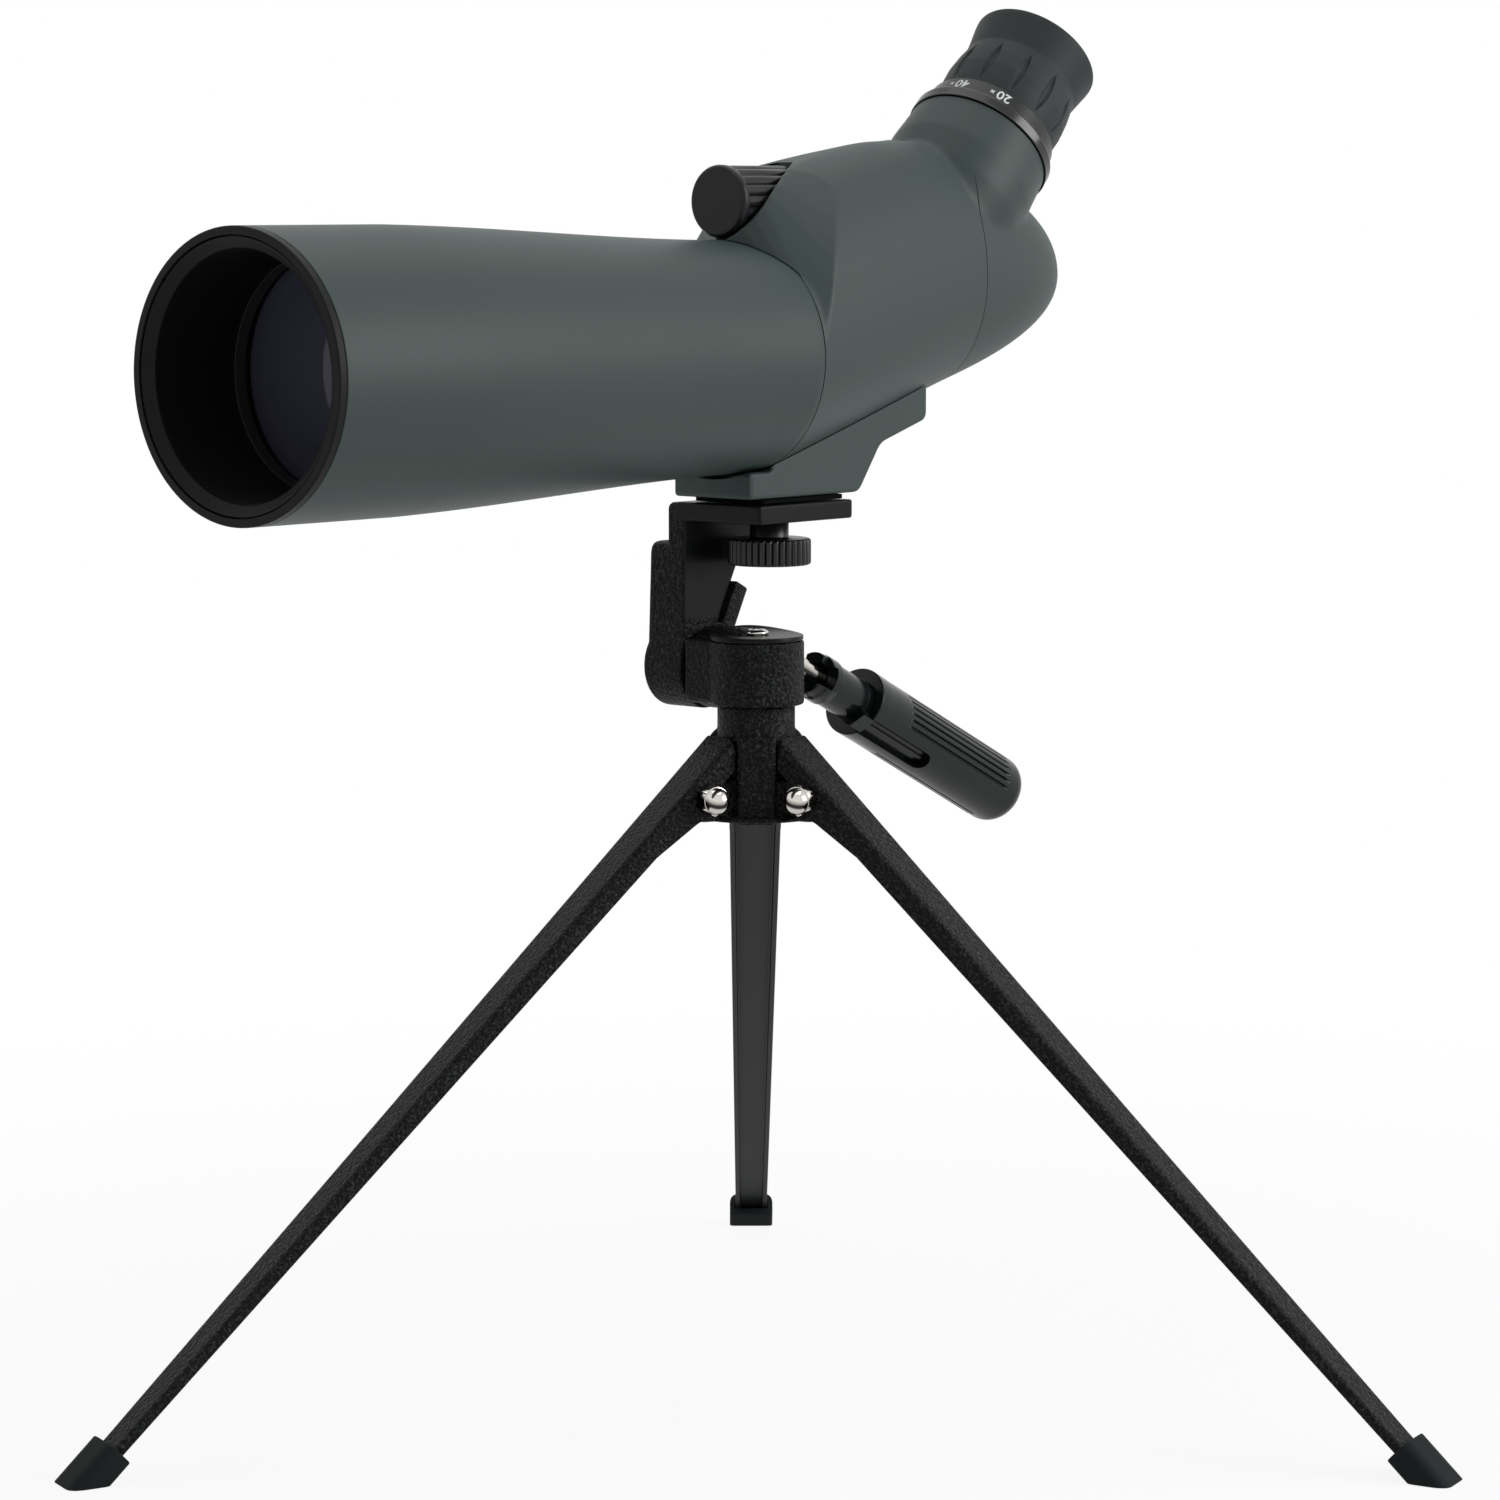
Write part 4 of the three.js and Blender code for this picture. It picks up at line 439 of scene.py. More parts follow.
def neck_corner(points):
    """Weight near the line where the neck leaves the body: exp(-(a^2 + b^2) / w^2) of the
    distances to the neck's cone and to the body's arch."""
    local = points - eye_centre
    s = local @ eyewards
    away = np.linalg.norm(local - s[:, None] * eyewards, axis=1)
    to_neck = np.abs(away - np.interp(s, [50, 62, 71, 83.2], [20, 22.6, 23.2, 22.2]))
    x, y, z = (points - scope_axis).T
    share = np.clip((y - tube_end) / body_length, 0, 1.4)
    wide = np.hypot(x / (33 - 9.4 * share), np.maximum(z - 21.2 * share, 0) / (41 - 4 * share))
    to_body = np.abs(wide - 1) * 30
    return np.where((s > 45) & (s < 82), np.exp(-(to_neck ** 2 + to_body ** 2) / 30), 0)


body = skin("body", egg_rows(np.linspace(-8, 82, 90), low_rise))
upper = skin("upper", egg_rows(np.linspace(-4, 82, 120), high_rise))

# The leaning face runs from the edge of the knob's pocket out to an edge on the body's arch and
# down to a line on the tube; each edge is a few points (x, y, z) on the near half.
pocket_edge = [(4.7, -13.4, 33.2), (8.6, -11.6, 36), (10.9, -9, 39), (11.9, -6.2, 42), (11.9, -3.3, 44.9),
               (11.2, 0.4, 47.8), (9.6, 5.5, 50.8), (8, 8.5, 52)]
arch_edge = [(9.9, 11.4, 52.2), (11.2, 14, 51.8), (13, 16.3, 50.8), (15.2, 17.6, 49.1), (16.9, 18.4, 47.4),
             (19.1, 17.5, 44.7), (20.5, 15.7, 42.6), (23, 12.5, 38.5), (25.7, 9, 32.9), (27.9, 6.1, 27.4),
             (29.6, 3.4, 21.9), (30.6, 1.2, 17.4), (31.5, -0.6, 13), (32.3, -2.2, 8.5), (32.8, -3.4, 4)]
tube_edge = [(3.1, -6.1, 32.7), (12.3, -3, 30.9), (18, -2, 28), (21.8, -1.2, 25), (25.2, 0.2, 21.6),
             (28, 1.2, 17.6), (30.2, -3, 13), (31.8, -4, 8.5), (32.7, -4, 4)]
core = [(10, 30, 10), (10, 30, 46), (0, 14, 20)]
face_points = np.array(pocket_edge + arch_edge + tube_edge + core, float)
far_points = np.array(pocket_edge[6:] + arch_edge + tube_edge[1:] + core, float) * [-1, 1, 1]
face_points = np.vstack([face_points, far_points])


def hull(name, points):
    """The convex hull of points given from the scope's axis."""
    mesh = bpy.data.meshes.new(name)
    mesh.from_pydata(((points + scope_axis + column) * millimetre).tolist(), [], [])
    work = bmesh.new()
    work.from_mesh(mesh)
    made = bmesh.ops.convex_hull(work, input=work.verts)
    spare = {item for kind in ("geom_interior", "geom_unused") for item in made[kind]}
    bmesh.ops.delete(work, geom=[item for item in spare if isinstance(item, bmesh.types.BMVert)],
                     context="VERTS")
    bmesh.ops.recalc_face_normals(work, faces=work.faces)
    work.to_mesh(mesh)
    work.free()
    piece = bpy.data.objects.new(name, mesh)
    bpy.context.scene.collection.objects.link(piece)
    return piece


before_face = [[y, z] for x, y, z in arch_edge[::-1]]
pocket_line = [[8.9, 52.4], [14.2, 54], [20.5, 55.4], [33, 57.9]]
worked(upper, "DIFFERENCE",
       slab("before_face", [[-70, 4], *before_face, *pocket_line, [33, 130], [-70, 130]], -70, 70))
nose = hull("nose", face_points)
dome = skin("dome", dome_rows(seam - 0.6))
neck = turned("neck", [[50, 0], [50, 20], [62, 22.6], [71, 23.2], [83.2, 22.2], [88, 21.9], [88, 0]],
              eye_centre, eyewards)
worked(body, "UNION", upper, nose, dome, neck)
cast(body, 0.6, 2, 44, neck_corner)
above_neck = turned("above_neck", [[83.2, 0], [83.2, 40], [95, 40], [95, 0]], eye_centre, eyewards)
eye_bore = rod(19.4, 32, 90, eye_centre, eyewards, 128)
worked(body, "DIFFERENCE", above_neck, eye_bore)
cover = body.copy()
cover.data = body.data.copy()
bpy.context.scene.collection.objects.link(cover)
behind = [[seam, -90], [seam + 90, -90], [seam + 90, 140], [seam, 140]]
before = [[seam - 140, -90], [seam - 140, 140], [seam + 0.03, 140], [seam + 0.03, 52], [seam + seam_gap, 44],
          [seam + seam_gap, -90]]
tube_room = rod(33.3, -30, 0, steps=288)
tube_gap = [[-40, -40], [housing_front, -40], [housing_front, 10], [housing_front - 0.22, 20],
            [housing_front - 0.22, 45], [-40, 45]]
worked(tube_room, "INTERSECT", slab("tube_gap", tube_gap, -60, 60))
pocket_start = scope_axis + np.array([0, 0, knob_height])
hollow = skin("hollow", egg_rows(np.linspace(-12, seam + 2, 12), low_rise, 2.3, 72))
worked(hollow, "DIFFERENCE", rod(13.1, -20, 18.6, pocket_start))
arch_hollow = skin("arch_hollow", egg_rows(np.linspace(23, seam + 2, 12), high_rise, 3.2, 72))
front_edge_room = [[-40, -60], [housing_front, -60], [housing_front, 12.5], [-40, 12.5]]
worked(body, "DIFFERENCE", slab("behind", behind, -90, 90), slab("front_edge_room", front_edge_room, -60, 60),
       tube_room, rod(11.3, -20, 17.3, pocket_start, steps=128), hollow, arch_hollow,
       rod(30.7, -12, 4, steps=128), rod(2.5, 10, seam + 2, pocket_start, steps=24))
worked(cover, "DIFFERENCE", slab("before", before, -90, 90),
       skin("dome_hollow", dome_rows(seam + 0.1, 2.3, 72, 24)))
body.name, cover.name = "housing_casting", "cover_casting"
fitted(body, "scope", green_paint, "green", "prism_housing", crease=36)
fitted(cover, "scope", green_paint, "green", "rear_cover", crease=40)

# Mounting foot. A casting under the housing that stands on the tripod's platform, hollowed on
# top to fit the housing and stepped in front to clear the tube; a brass bush takes the stud.
def plate(name, outline, low, high, ease, stand, steps=4):
    """A plate of a rounded outline. Its rims are quarter rounds: at angle t the outline lies
    e (1 - sin t) further in at the place e (1 - cos t) from the face."""
    outline = np.asarray(outline, float)
    leaving = np.roll(outline, -1, 0) - outline
    leaving /= np.linalg.norm(leaving, axis=1)[:, None]
    arriving = np.roll(leaving, 1, 0)
    x, y = outline.T
    way = np.sign(np.sum(x * np.roll(y, -1) - np.roll(x, -1) * y))
    inwards = np.stack([-arriving[:, 1] - leaving[:, 1], arriving[:, 0] + leaving[:, 0]], 1)
    inwards *= way / np.maximum(1 + np.sum(arriving * leaving, 1), 0.3)[:, None]
    t = np.linspace(0, np.pi / 2, steps)
    inset, depth = ease * (1 - np.sin(t)), ease * (1 - np.cos(t))
    inset, depth = np.append(ease * 1.25, inset), np.append(0, depth)
    places = np.concatenate([low + depth, high - depth[::-1]])
    insets = np.concatenate([inset, inset[::-1]])
    rows = [np.column_stack([outline + inwards * inset, np.full(len(outline), place)])
            for inset, place in zip(insets, places)]
    return skin(name, stand(np.array(rows)))


def along_x(origin):
    """Stands a plate's outline up in Y and Z and carries it along X."""
    return lambda rows: origin + rows[..., [2, 0, 1]]


def upright(origin):
    """Leaves a plate's outline in X and Y and raises it along Z."""
    return lambda rows: origin + rows


platform_place = 10.3
foot_side = eased([[-14.8, -39.5], [33.8, -39.5], [43.8, -25.8], [64.8, -19.6], [64.8, 2], [-4.9, 2],
                   [-4.9, -31.9], [-14.8, -31.9]], [1.3, 2.2, 2.4, 2.2, 0.1, 0.1, 1.6, 1.3])
mounting_foot = plate("mounting_foot_casting", foot_side, -14.3, 14.3, 1.0, along_x(scope_axis))
bed = skin("bed", egg_rows(np.linspace(-4.9, 70, 40), low_rise, -0.3))
mouth = rod(34.2, -30, -4.9, steps=192)
sole_bore = rod(5.5, -60, -35.0, scope_axis + np.array([0, platform_place, 0]), [0, 0, 1])
worked(mounting_foot, "DIFFERENCE", bed, mouth, sole_bore)
fitted(mounting_foot, "scope", green_paint, "green", "mounting_foot")

# Focus knob. A black turned knob in its pocket behind the tube: a plain face with a bright
# edge, a short plain band and broad ribs along its side; its screw drives the focus carriage.
knob_black = coat_of("knob_black", (28, 29, 31), 0.3, specular=0.2, cloud=0.1, pebble=3400, depth=0.006)


def ribbed_rows(profile, start, along, ribs, steps, sharpness=1.0):
    """Rows of a ribbed turning from (s, r, d): r(t) = r - d (1 - |cos(n t / 2)|^p)."""
    along = np.array(along, float)
    guide = np.array([1.0, 0, 0])
    across = guide - along * guide.dot(along)
    t = np.linspace(0, 2 * np.pi, steps, endpoint=False)
    circle = np.cos(t)[:, None] * across + np.sin(t)[:, None] * np.cross(along, across)
    s, r, depth = np.asarray(profile, float).T
    hollow = 1 - np.abs(np.cos(ribs * t / 2)) ** sharpness
    radius = r[:, None] - depth[:, None] * hollow
    return start + s[:, None, None] * along + radius[..., None] * circle


knob_start = scope_axis + np.array([0, -12.4, knob_height])
knob_profile = [[0, 0, 0], [0, 8.6, 0], [0, 9.35, 0], [0.04, 9.5, 0], [0.2, 9.72, 0], [0.5, 9.98, 0],
                [0.8, 10.15, 0], [1.1, 10.2, 0], [2.3, 10.2, 0], [2.45, 10.15, 0.1], [2.6, 10.1, 0.5],
                [2.9, 10.1, 0.75], [12, 10.1, 0.75], [27.6, 10.1, 0.75], [28.1, 9.8, 0.6], [28.4, 9.4, 0.3],
                [28.5, 9, 0], [28.5, 3, 0], [28.5, 2.55, 0], [14.4, 2.55, 0], [14.4, 0, 0]]
knob = skin("knob", ribbed_rows(knob_profile, knob_start, rearwards, 18, 432, 0.7))
fitted(knob, "focus_knob_body", knob_black, "knob_black", "focus_knob", crease=50)
steel = coat_of("plain_steel", (150, 153, 156), 0.34, metallic=1.0, pebble=2600, depth=0.01)
dressed(steel, "focus_screw", "prism_seat", "handle_pin", "tilt_washer")
dressed(retainer_black, "focus_carriage", "front_zoom_cell", "rear_zoom_cell")

# Eyepiece. A glossy black collar on the neck, a satin black scale ring with the printed
# powers, and the rubber-covered zoom grip with its pressed hollows and flared mouth, on an
# inner barrel that holds the eye lens.
collar_black = coat_of("collar_black", (13, 15, 15), 0.2, specular=0.5, cloud=0.08, pebble=3200, depth=0.005)
collar_profile = eased([[83.5, 15.6], [83.5, 22.8], [84.1, 22.8], [84.1, 22.5], [87.1, 22.8], [87.1, 15.6]],
                       [0.1, 0.3, 0.05, 0.15, 0.7, 0.2])
collar = turned("eyepiece_collar_ring", collar_profile, eye_centre, eyewards, 256, ring=True)
spigot = turned("spigot", [[74.5, 15.6], [74.5, 19.1], [84.0, 19.1], [84.0, 15.6]], eye_centre, eyewards, 128,
                ring=True)
worked(collar, "UNION", spigot)
fitted(collar, "scope", collar_black, "rim_black", "eyepiece_collar")

scale_black = coat_of("scale_black", (22, 23, 23), 0.32, specular=0.3, cloud=0.06, pebble=3000, depth=0.006)
scale_profile = eased([[87.5, 15.7], [87.5, 21.4], [92.5, 20.6], [92.5, 15.7]], [0.1, 0.35, 0.35, 0.1])
scale_ring = turned("scale_ring", scale_profile, eye_centre, eyewards, 256, ring=True)
fitted(scale_ring, "zoom_ring_body", scale_black, "rim_black", "zoom_scale_ring")

print_white = coat_of("print_white", (226, 230, 232), 0.5, pebble=3000, depth=0.004)


def figure(name, words, size, turn, aside):
    """Printed characters laid round the scale ring, their feet towards the eye: a flat x goes to the angle
    turn - x / r, a flat y down the ring's cone."""
    curve = bpy.data.curves.new(name, "FONT")
    curve.body, curve.size, curve.align_x, curve.align_y = words, size, "CENTER", "CENTER"
    curve.extrude, curve.offset = 0.03, 0.07
    holder = bpy.data.objects.new(name, curve)
    bpy.context.scene.collection.objects.link(holder)
    mesh = bpy.data.meshes.new_from_object(holder.evaluated_get(bpy.context.evaluated_depsgraph_get()))
    bpy.data.objects.remove(holder)
    flat = np.empty(len(mesh.vertices) * 3)
    mesh.vertices.foreach_get("co", flat)
    x, y, z = flat.reshape(-1, 3).T
    angle = np.radians(turn) - (x + aside) / 21
    place = 90.0 - y
    radius = 21.4 - 0.16 * (place - 87.5) + 0.02 + z
    side = np.array([1.0, 0, 0])
    circle = np.cos(angle)[:, None] * side + np.sin(angle)[:, None] * np.cross(eyewards, side)
    points = eye_centre + place[:, None] * eyewards + radius[:, None] * circle
    mesh.vertices.foreach_set("co", ((points + column) * millimetre).ravel())
    piece = bpy.data.objects.new(name, mesh)
    bpy.context.scene.collection.objects.link(piece)
    fitted(piece, "zoom_ring_body", print_white, "rim_black")


for number, turn in (("20", 314.5), ("40", 276.5), ("60", 238.5)):
    figure(f"figure_{number}", number, 4.6, turn, 0)
    figure(f"times_{number}", "\u00d7", 2.8, turn, 3.8)

rubber = coat_of("grip_rubber", (43, 48, 49), 0.55, specular=0.2, cloud=0.08, pebble=1500, depth=0.03,
                 coarse=0.6)


def grip_rows(steps=768):
    """Grip: r(t, s) = r(s) - d f(t, s). Each hollow f is a lens in outline, pointed at both ends,
    f = (1 - (x / w)^2)^0.6 with the half width w = 1.35 (1 - (2u - 1)^2) along it."""
    s = np.concatenate([[0, 0], np.linspace(0.02, 0.6, 6), np.linspace(0.8, 28.9, 150)])
    knots = [0, 4, 9, 14, 19.3, 24, 29.2]
    radius = np.interp(s, knots, [18.95, 19.35, 19.6, 19.1, 18.15, 18.85, 19.7])
    radius[8:] = np.convolve(np.pad(radius[8:], 3, "edge"), np.ones(7) / 7, "valid")
    radius[:8] = [15.7, 18.3, 18.5, 18.65, 18.78, 18.86, 18.92, 18.95]
    t = np.linspace(0, 2 * np.pi, steps, endpoint=False)
    across = ((t * 12 / (2 * np.pi)) % 1 - 0.5) * 2 * np.pi * 19.4 / 12
    share = np.clip((s - 1.2) / 16.3, 0, 1)
    width = 1.35 * (1 - (2 * share - 1) ** 2) + 1e-3
    inside = np.clip(1 - (across[None, :] / width[:, None]) ** 2, 0, 1)
    side = radius[:, None] - 0.95 * inside ** 0.6 * np.clip(width / 0.9, 0, 1)[:, None]
    lip = eased([[28.9, 19.68], [30.6, 19.75], [30.6, 18.1], [26.1, 15.7], [0, 15.7]],
                [0.1, 0.7, 0.5, 0.6, 0.1], closed=False)[1:]
    s = np.append(s, lip[:, 0])
    side = np.vstack([side, np.repeat(lip[:, 1:2], steps, 1)])
    place = 92.8 + s
    guide = np.array([1.0, 0, 0])
    circle = np.cos(t)[:, None] * guide + np.sin(t)[:, None] * np.cross(eyewards, guide)
    return eye_centre + place[:, None, None] * eyewards + side[..., None] * circle


grip = skin("zoom_grip_cover", grip_rows(), ring=True)
fitted(grip, "zoom_ring_body", rubber, "grip_rubber", "zoom_grip", crease=60)
eye_ring = turned("eye_ring", eased([[111.8, 15.3], [113.9, 15.3], [113.9, 13.9], [112.2, 11.6],
                                     [111.8, 11.6]], 0.2), eye_centre, eyewards, 128, ring=True)
fitted(eye_ring, "scope", retainer_black, "rim_black", "eye_lens_ring")
dressed(retainer_black, "eyepiece_barrel")

# Tilting bracket. One casting: a smooth flat platform under the scope's foot, an arm down one
# side and a thick cheek with a boss round the tilt bolt. Its sides have a wrinkle enamel; a
# rubber pad lies on the platform.
wrinkle = bpy.data.materials.new("wrinkle_black")
wrinkle.use_nodes = True
nodes, links = wrinkle.node_tree.nodes, wrinkle.node_tree.links
shader = nodes["Principled BSDF"]
shader.inputs["Specular IOR Level"].default_value = 0.09
where = node(nodes, "TexCoord")
stir = node(nodes, "TexNoise", {"Scale": 700, "Detail": 2})
links.new(where.outputs["Object"], stir.inputs["Vector"])
stirred = node(nodes, "VectorMath", {1: (0.0012, 0.0012, 0.0012)}, operation="MULTIPLY_ADD")
links.new(stir.outputs["Color"], stirred.inputs[0])
links.new(where.outputs["Object"], stirred.inputs[2])
folds = node(nodes, "TexVoronoi", {"Scale": 900, "Smoothness": 0.6}, feature="SMOOTH_F1")
links.new(stirred.outputs["Vector"], folds.inputs["Vector"])
ripple = node(nodes, "Bump", {"Strength": 0.9, "Distance": 0.00045}, invert=True)
links.new(folds.outputs["Distance"], ripple.inputs["Height"])
links.new(ripple.outputs["Normal"], shader.inputs["Normal"])
# Painted glints: small lighter specks mixed into the black enamel's colour stand in for highlights on the
# wrinkle's ridges.
painted_glints = node(nodes, "TexNoise", {"Scale": 1150, "Detail": 3, "Roughness": 0.7})
links.new(stirred.outputs["Vector"], painted_glints.inputs["Vector"])
glint_mask = node(nodes, "MapRange", {"From Min": 0.46, "From Max": 0.72}, interpolation_type="SMOOTHSTEP")
links.new(painted_glints.outputs["Fac"], glint_mask.inputs["Value"])
enamel = node(nodes, "Mix", {"A": (0.0028, 0.003, 0.003, 1), "B": (0.05, 0.054, 0.054, 1)}, data_type="RGBA")
links.new(glint_mask.outputs["Result"], enamel.inputs["Factor"])
wear = node(nodes, "Group", {"Cloud": 0.9, "Roughness": 0.5, "Spread": 0.1, "Scale": 60}, node_tree=handling)
links.new(enamel.outputs["Result"], wear.inputs["Colour"])
links.new(wear.outputs["Colour"], shader.inputs["Base Color"])
links.new(wear.outputs["Roughness"], shader.inputs["Roughness"])
satin_black = coat_of("satin_black", (14, 16, 16), 0.34, specular=0.12, cloud=0.12, pebble=2600, depth=0.008)

platform_top, tilt_height, arm_inner = 255.7, 208.0, -18.2
arm_outer, boss_face = arm_inner - 6.2, -32.66
tilt_axis = np.array([0, 0, tilt_height])
outwards_x = np.array([1.0, 0.0, 0.0])
platform_outline = eased([[scope_side - 17.4, -10.4], [10.4, -10.4], [10.4, 31], [scope_side - 17.4, 31]],
                         [0.6, 1.0, 1.4, 0.6])
bracket = plate("tilting_bracket", platform_outline, platform_top - 5.4, platform_top, 0.5, upright(0))
arm_outline = eased([[-10.4, platform_top - 0.2], [20, platform_top - 0.2], [20, platform_top - 5.4],
                     [3.2, tilt_height + 10.1], [0, tilt_height], [-10.4, tilt_height]],
                    [0.8, 2, 1.5, 3, 1, 1])
arm = plate("arm", arm_outline, arm_outer, arm_inner, 0.5, along_x(0))
cheek_top = tilt_height + 36
rear_slope = (20 - 3.2) / (47.7 - 5.4 - 10.1)


def cheek_stand(rows):
    """Stands the cheek up, its outer half leaning by 0.035 of the height below its top."""
    x = rows[..., 2] + 0.035 * (rows[..., 1] - cheek_top)
    return np.stack([x, rows[..., 0], rows[..., 1]], -1)


cheek_outline = eased([[-10.4, cheek_top], [3.2 + rear_slope * 25.9, cheek_top], [3.2, tilt_height + 10.1],
                       [0, tilt_height - 2], [-10.4, tilt_height - 2]], [3.4, 2.6, 2, 1, 1])
cheek = plate("cheek", cheek_outline, arm_outer - 7, arm_inner, 1.1, cheek_stand)
boss = turned("boss", eased([[boss_face, 0], [boss_face, 12.2], [arm_inner, 12.2], [arm_inner, 0]],
                            [0.1, 1.2, 0.4, 0.1], closed=False), tilt_axis, outwards_x, 96)
rear_top = 3.2 + rear_slope * (platform_top - 5.6 - tilt_height - 10.1)
corner_outline = [[8, platform_top - 18], [rear_top - rear_slope * 12.4, platform_top - 18],
                  [rear_top + 3.8, platform_top - 8], [rear_top + 3.8, platform_top - 3],
                  [8, platform_top - 3]]
worked(bracket, "UNION", arm, cheek, boss, plate("corner", corner_outline, arm_outer + 0.5, arm_inner, 0.4,
                                                 along_x(0)))
shoulder_arc = np.linspace(np.pi, np.pi / 2, 8)
shoulder = np.stack([arm_outer + 2.5 + 2.5 * np.cos(shoulder_arc),
                     platform_top - 2.5 + 2.5 * np.sin(shoulder_arc)], 1)
shoulder = np.vstack([[[arm_outer - 2, platform_top + 2], [arm_outer - 2, shoulder[0, 1]]], shoulder,
                      [[shoulder[-1, 0], platform_top + 2]]])
worked(bracket, "DIFFERENCE", slab("shoulder", shoulder, -30, 50, 1, np.zeros(3)))
cast(bracket, 0.42, 2)
worked(bracket, "DIFFERENCE",
       rod(5.7, boss_face - 5, boss_face + 1.7, tilt_axis, outwards_x),
       rod(3.2, boss_face - 5, arm_inner + 5, tilt_axis, outwards_x),
       rod(3.7, platform_top - 10, platform_top + 5, np.array([scope_side, platform_place, 0]), [0, 0, 1]))
fitted(bracket, "scope", wrinkle, "wrinkle_black", "tilt_bracket", crease=40)


def smooth_side(middles, normals):
    """The platform's top and rim, and the inner face of the arm and cheek, are satin black."""
    platform = (middles[:, 2] > platform_top - 5.6) & (middles[:, 0] > arm_outer + 2.4)
    return platform | (middles[:, 0] > arm_inner - 0.2) & (middles[:, 2] > tilt_height + 14)


second_finish(bracket, satin_black, smooth_side)

pad_outline = eased([[scope_side - 13, -7.8], [scope_side + 13, -7.8], [scope_side + 13, 28.4],
                     [scope_side - 13, 28.4]], 2)
pad = plate("platform_pad_sheet", pad_outline, platform_top + 0.3, platform_top + 1.6, 0.25, upright(0))
worked(pad, "DIFFERENCE", rod(6, 250, 262, np.array([scope_side, platform_place, 0]), [0, 0, 1]))
pad_rubber = coat_of("pad_rubber", (11, 13, 13), 0.85, specular=0.05, pebble=1300, depth=0.03, coarse=0.8)
fitted(pad, "scope", pad_rubber, "pad_rubber", "platform_pad")
bolt_face = boss_face - 1.2
tilt_bolt = turned("tilt_bolt_turning", eased([[bolt_face, 0], [bolt_face, 5.4], [bolt_face + 2.6, 5.4],
                                               [bolt_face + 2.6, 2.9], [-6.0, 2.9], [-6.0, 0]],
                                              [0.1, 0.5, 0.1, 0.1, 0.3, 0.1], closed=False), tilt_axis,
                   outwards_x, 96)
worked(tilt_bolt, "DIFFERENCE", turned("socket", [[bolt_face - 2, 0], [bolt_face - 2, 3],
                                                  [bolt_face + 1.5, 3], [bolt_face + 1.5, 0]], tilt_axis,
                                       outwards_x, 6))
fitted(tilt_bolt, "pan_head", steel, "plain_steel", "tilt_bolt")

# Clamp wheel. A knurled plastic wheel on a steel stud, under the platform; turned up, it
# draws the scope's foot on to the pad.
wheel_black = coat_of("wheel_black", (16, 17, 18), 0.3, specular=0.35, cloud=0.1, pebble=2600, depth=0.01)
wheel_start = np.array([scope_side, platform_place, platform_top - 5.4])
wheel_profile = [[-12.9, 0, 0], [-12.9, 8.4, 0], [-12.75, 8.8, 0], [-12.45, 9.1, 0], [-12.45, 10.6, 0],
                 [-12.8, 10.9, 0], [-12.9, 11.2, 0.1], [-12.75, 11.6, 0.35], [-12.4, 11.95, 0.7],
                 [-12.1, 12, 0.75], [-6.1, 12, 0.75], [-5.8, 11.95, 0.7], [-5.45, 11.6, 0.35],
                 [-5.3, 11.2, 0.1], [-5.3, 10.8, 0], [-5.3, 6.2, 0], [-5.1, 5.8, 0], [-4.7, 5.6, 0],
                 [-0.6, 5.6, 0], [-0.3, 5.3, 0], [-0.3, 3.05, 0], [-0.3, 0, 0]]
clamp = skin("clamp_wheel_turning", ribbed_rows(wheel_profile, wheel_start, [0, 0, 1], 36, 720, 0.8))
stud_turns = np.linspace(0, 1, 60)
stud_profile = np.stack([-0.5 + 11.4 * stud_turns,
                         3 - 0.22 * (0.5 - 0.5 * np.cos(stud_turns * 11.4 * 2 * np.pi / 1.27))], 1)
stud = turned("clamp_stud", np.vstack([[[-0.5, 0]], stud_profile, [[11.1, 2.4], [11.1, 0]]]), wheel_start,
              [0, 0, 1], 64)
fitted(clamp, "clamp_wheel_body", wheel_black, "wheel_black", "clamp_wheel", crease=50)
fitted(stud, "clamp_wheel_body", steel, "plain_steel")

# Pan head. A casting that turns on the column: a short barrel with an ear for the tilt bolt
# and a leaning stop behind the arm, capped by a black disc whose rim rises behind and held by
# a cross-head screw.
pan_bottom, pan_top = 198.3, 216.6
column_axis = np.zeros(3)
pan_profile = eased([[pan_bottom, 0], [pan_bottom, 13.7], [pan_top, 13.7], [pan_top, 0]],
                    [0.1, 1.0, 0.7, 0.1], closed=False)
pan = turned("pan_casting", pan_profile, column_axis, [0, 0, 1], 192)
ear_outline = eased([[-11.8, pan_bottom], [11.8, pan_bottom], [11.8, pan_top], [-11.8, pan_top]],
                    [3, 3, 1, 1])
ear = plate("ear", ear_outline, -17.0, 0, 0.8, along_x(0))
ear_round = turned("ear_round", [[-17, 0], [-17, 11.4], [-16.4, 11.8], [0, 11.8], [0, 0]], tilt_axis,
                   outwards_x, 96)
lean = np.arctan(rear_slope)


def lug_face(rise):
    """Front face of the stop, a clearance behind the arm's rear edge."""
    return 3.2 + rear_slope * (rise - 10.1) + 0.6 / np.cos(lean)


low_rise_of_lug, across = pan_top - tilt_height - 3.2, 5.6 / np.cos(lean)
drop = 5.6 * np.sin(lean)
lug_outline = eased([[lug_face(low_rise_of_lug), tilt_height + low_rise_of_lug],
                     [lug_face(low_rise_of_lug) + across, tilt_height + low_rise_of_lug],
                     [lug_face(24 - drop) + across, tilt_height + 24 - drop],
                     [lug_face(24), tilt_height + 24]], [0.1, 0.1, 0.6, 0.6])
stop = plate("stop", lug_outline, scope_side - 20.4, scope_side - 12.9, 0.5, along_x(0))
worked(stop, "DIFFERENCE", rod(13.2, -40, -17.0, tilt_axis, outwards_x, 96))
worked(pan, "UNION", ear, ear_round, stop)
cast(pan, 0.42, 2)
slope = np.radians(26)
handlewards = np.array([0, np.cos(slope), -np.sin(slope)])
handle_start = np.array([0, 0, pan_bottom + 18.6])
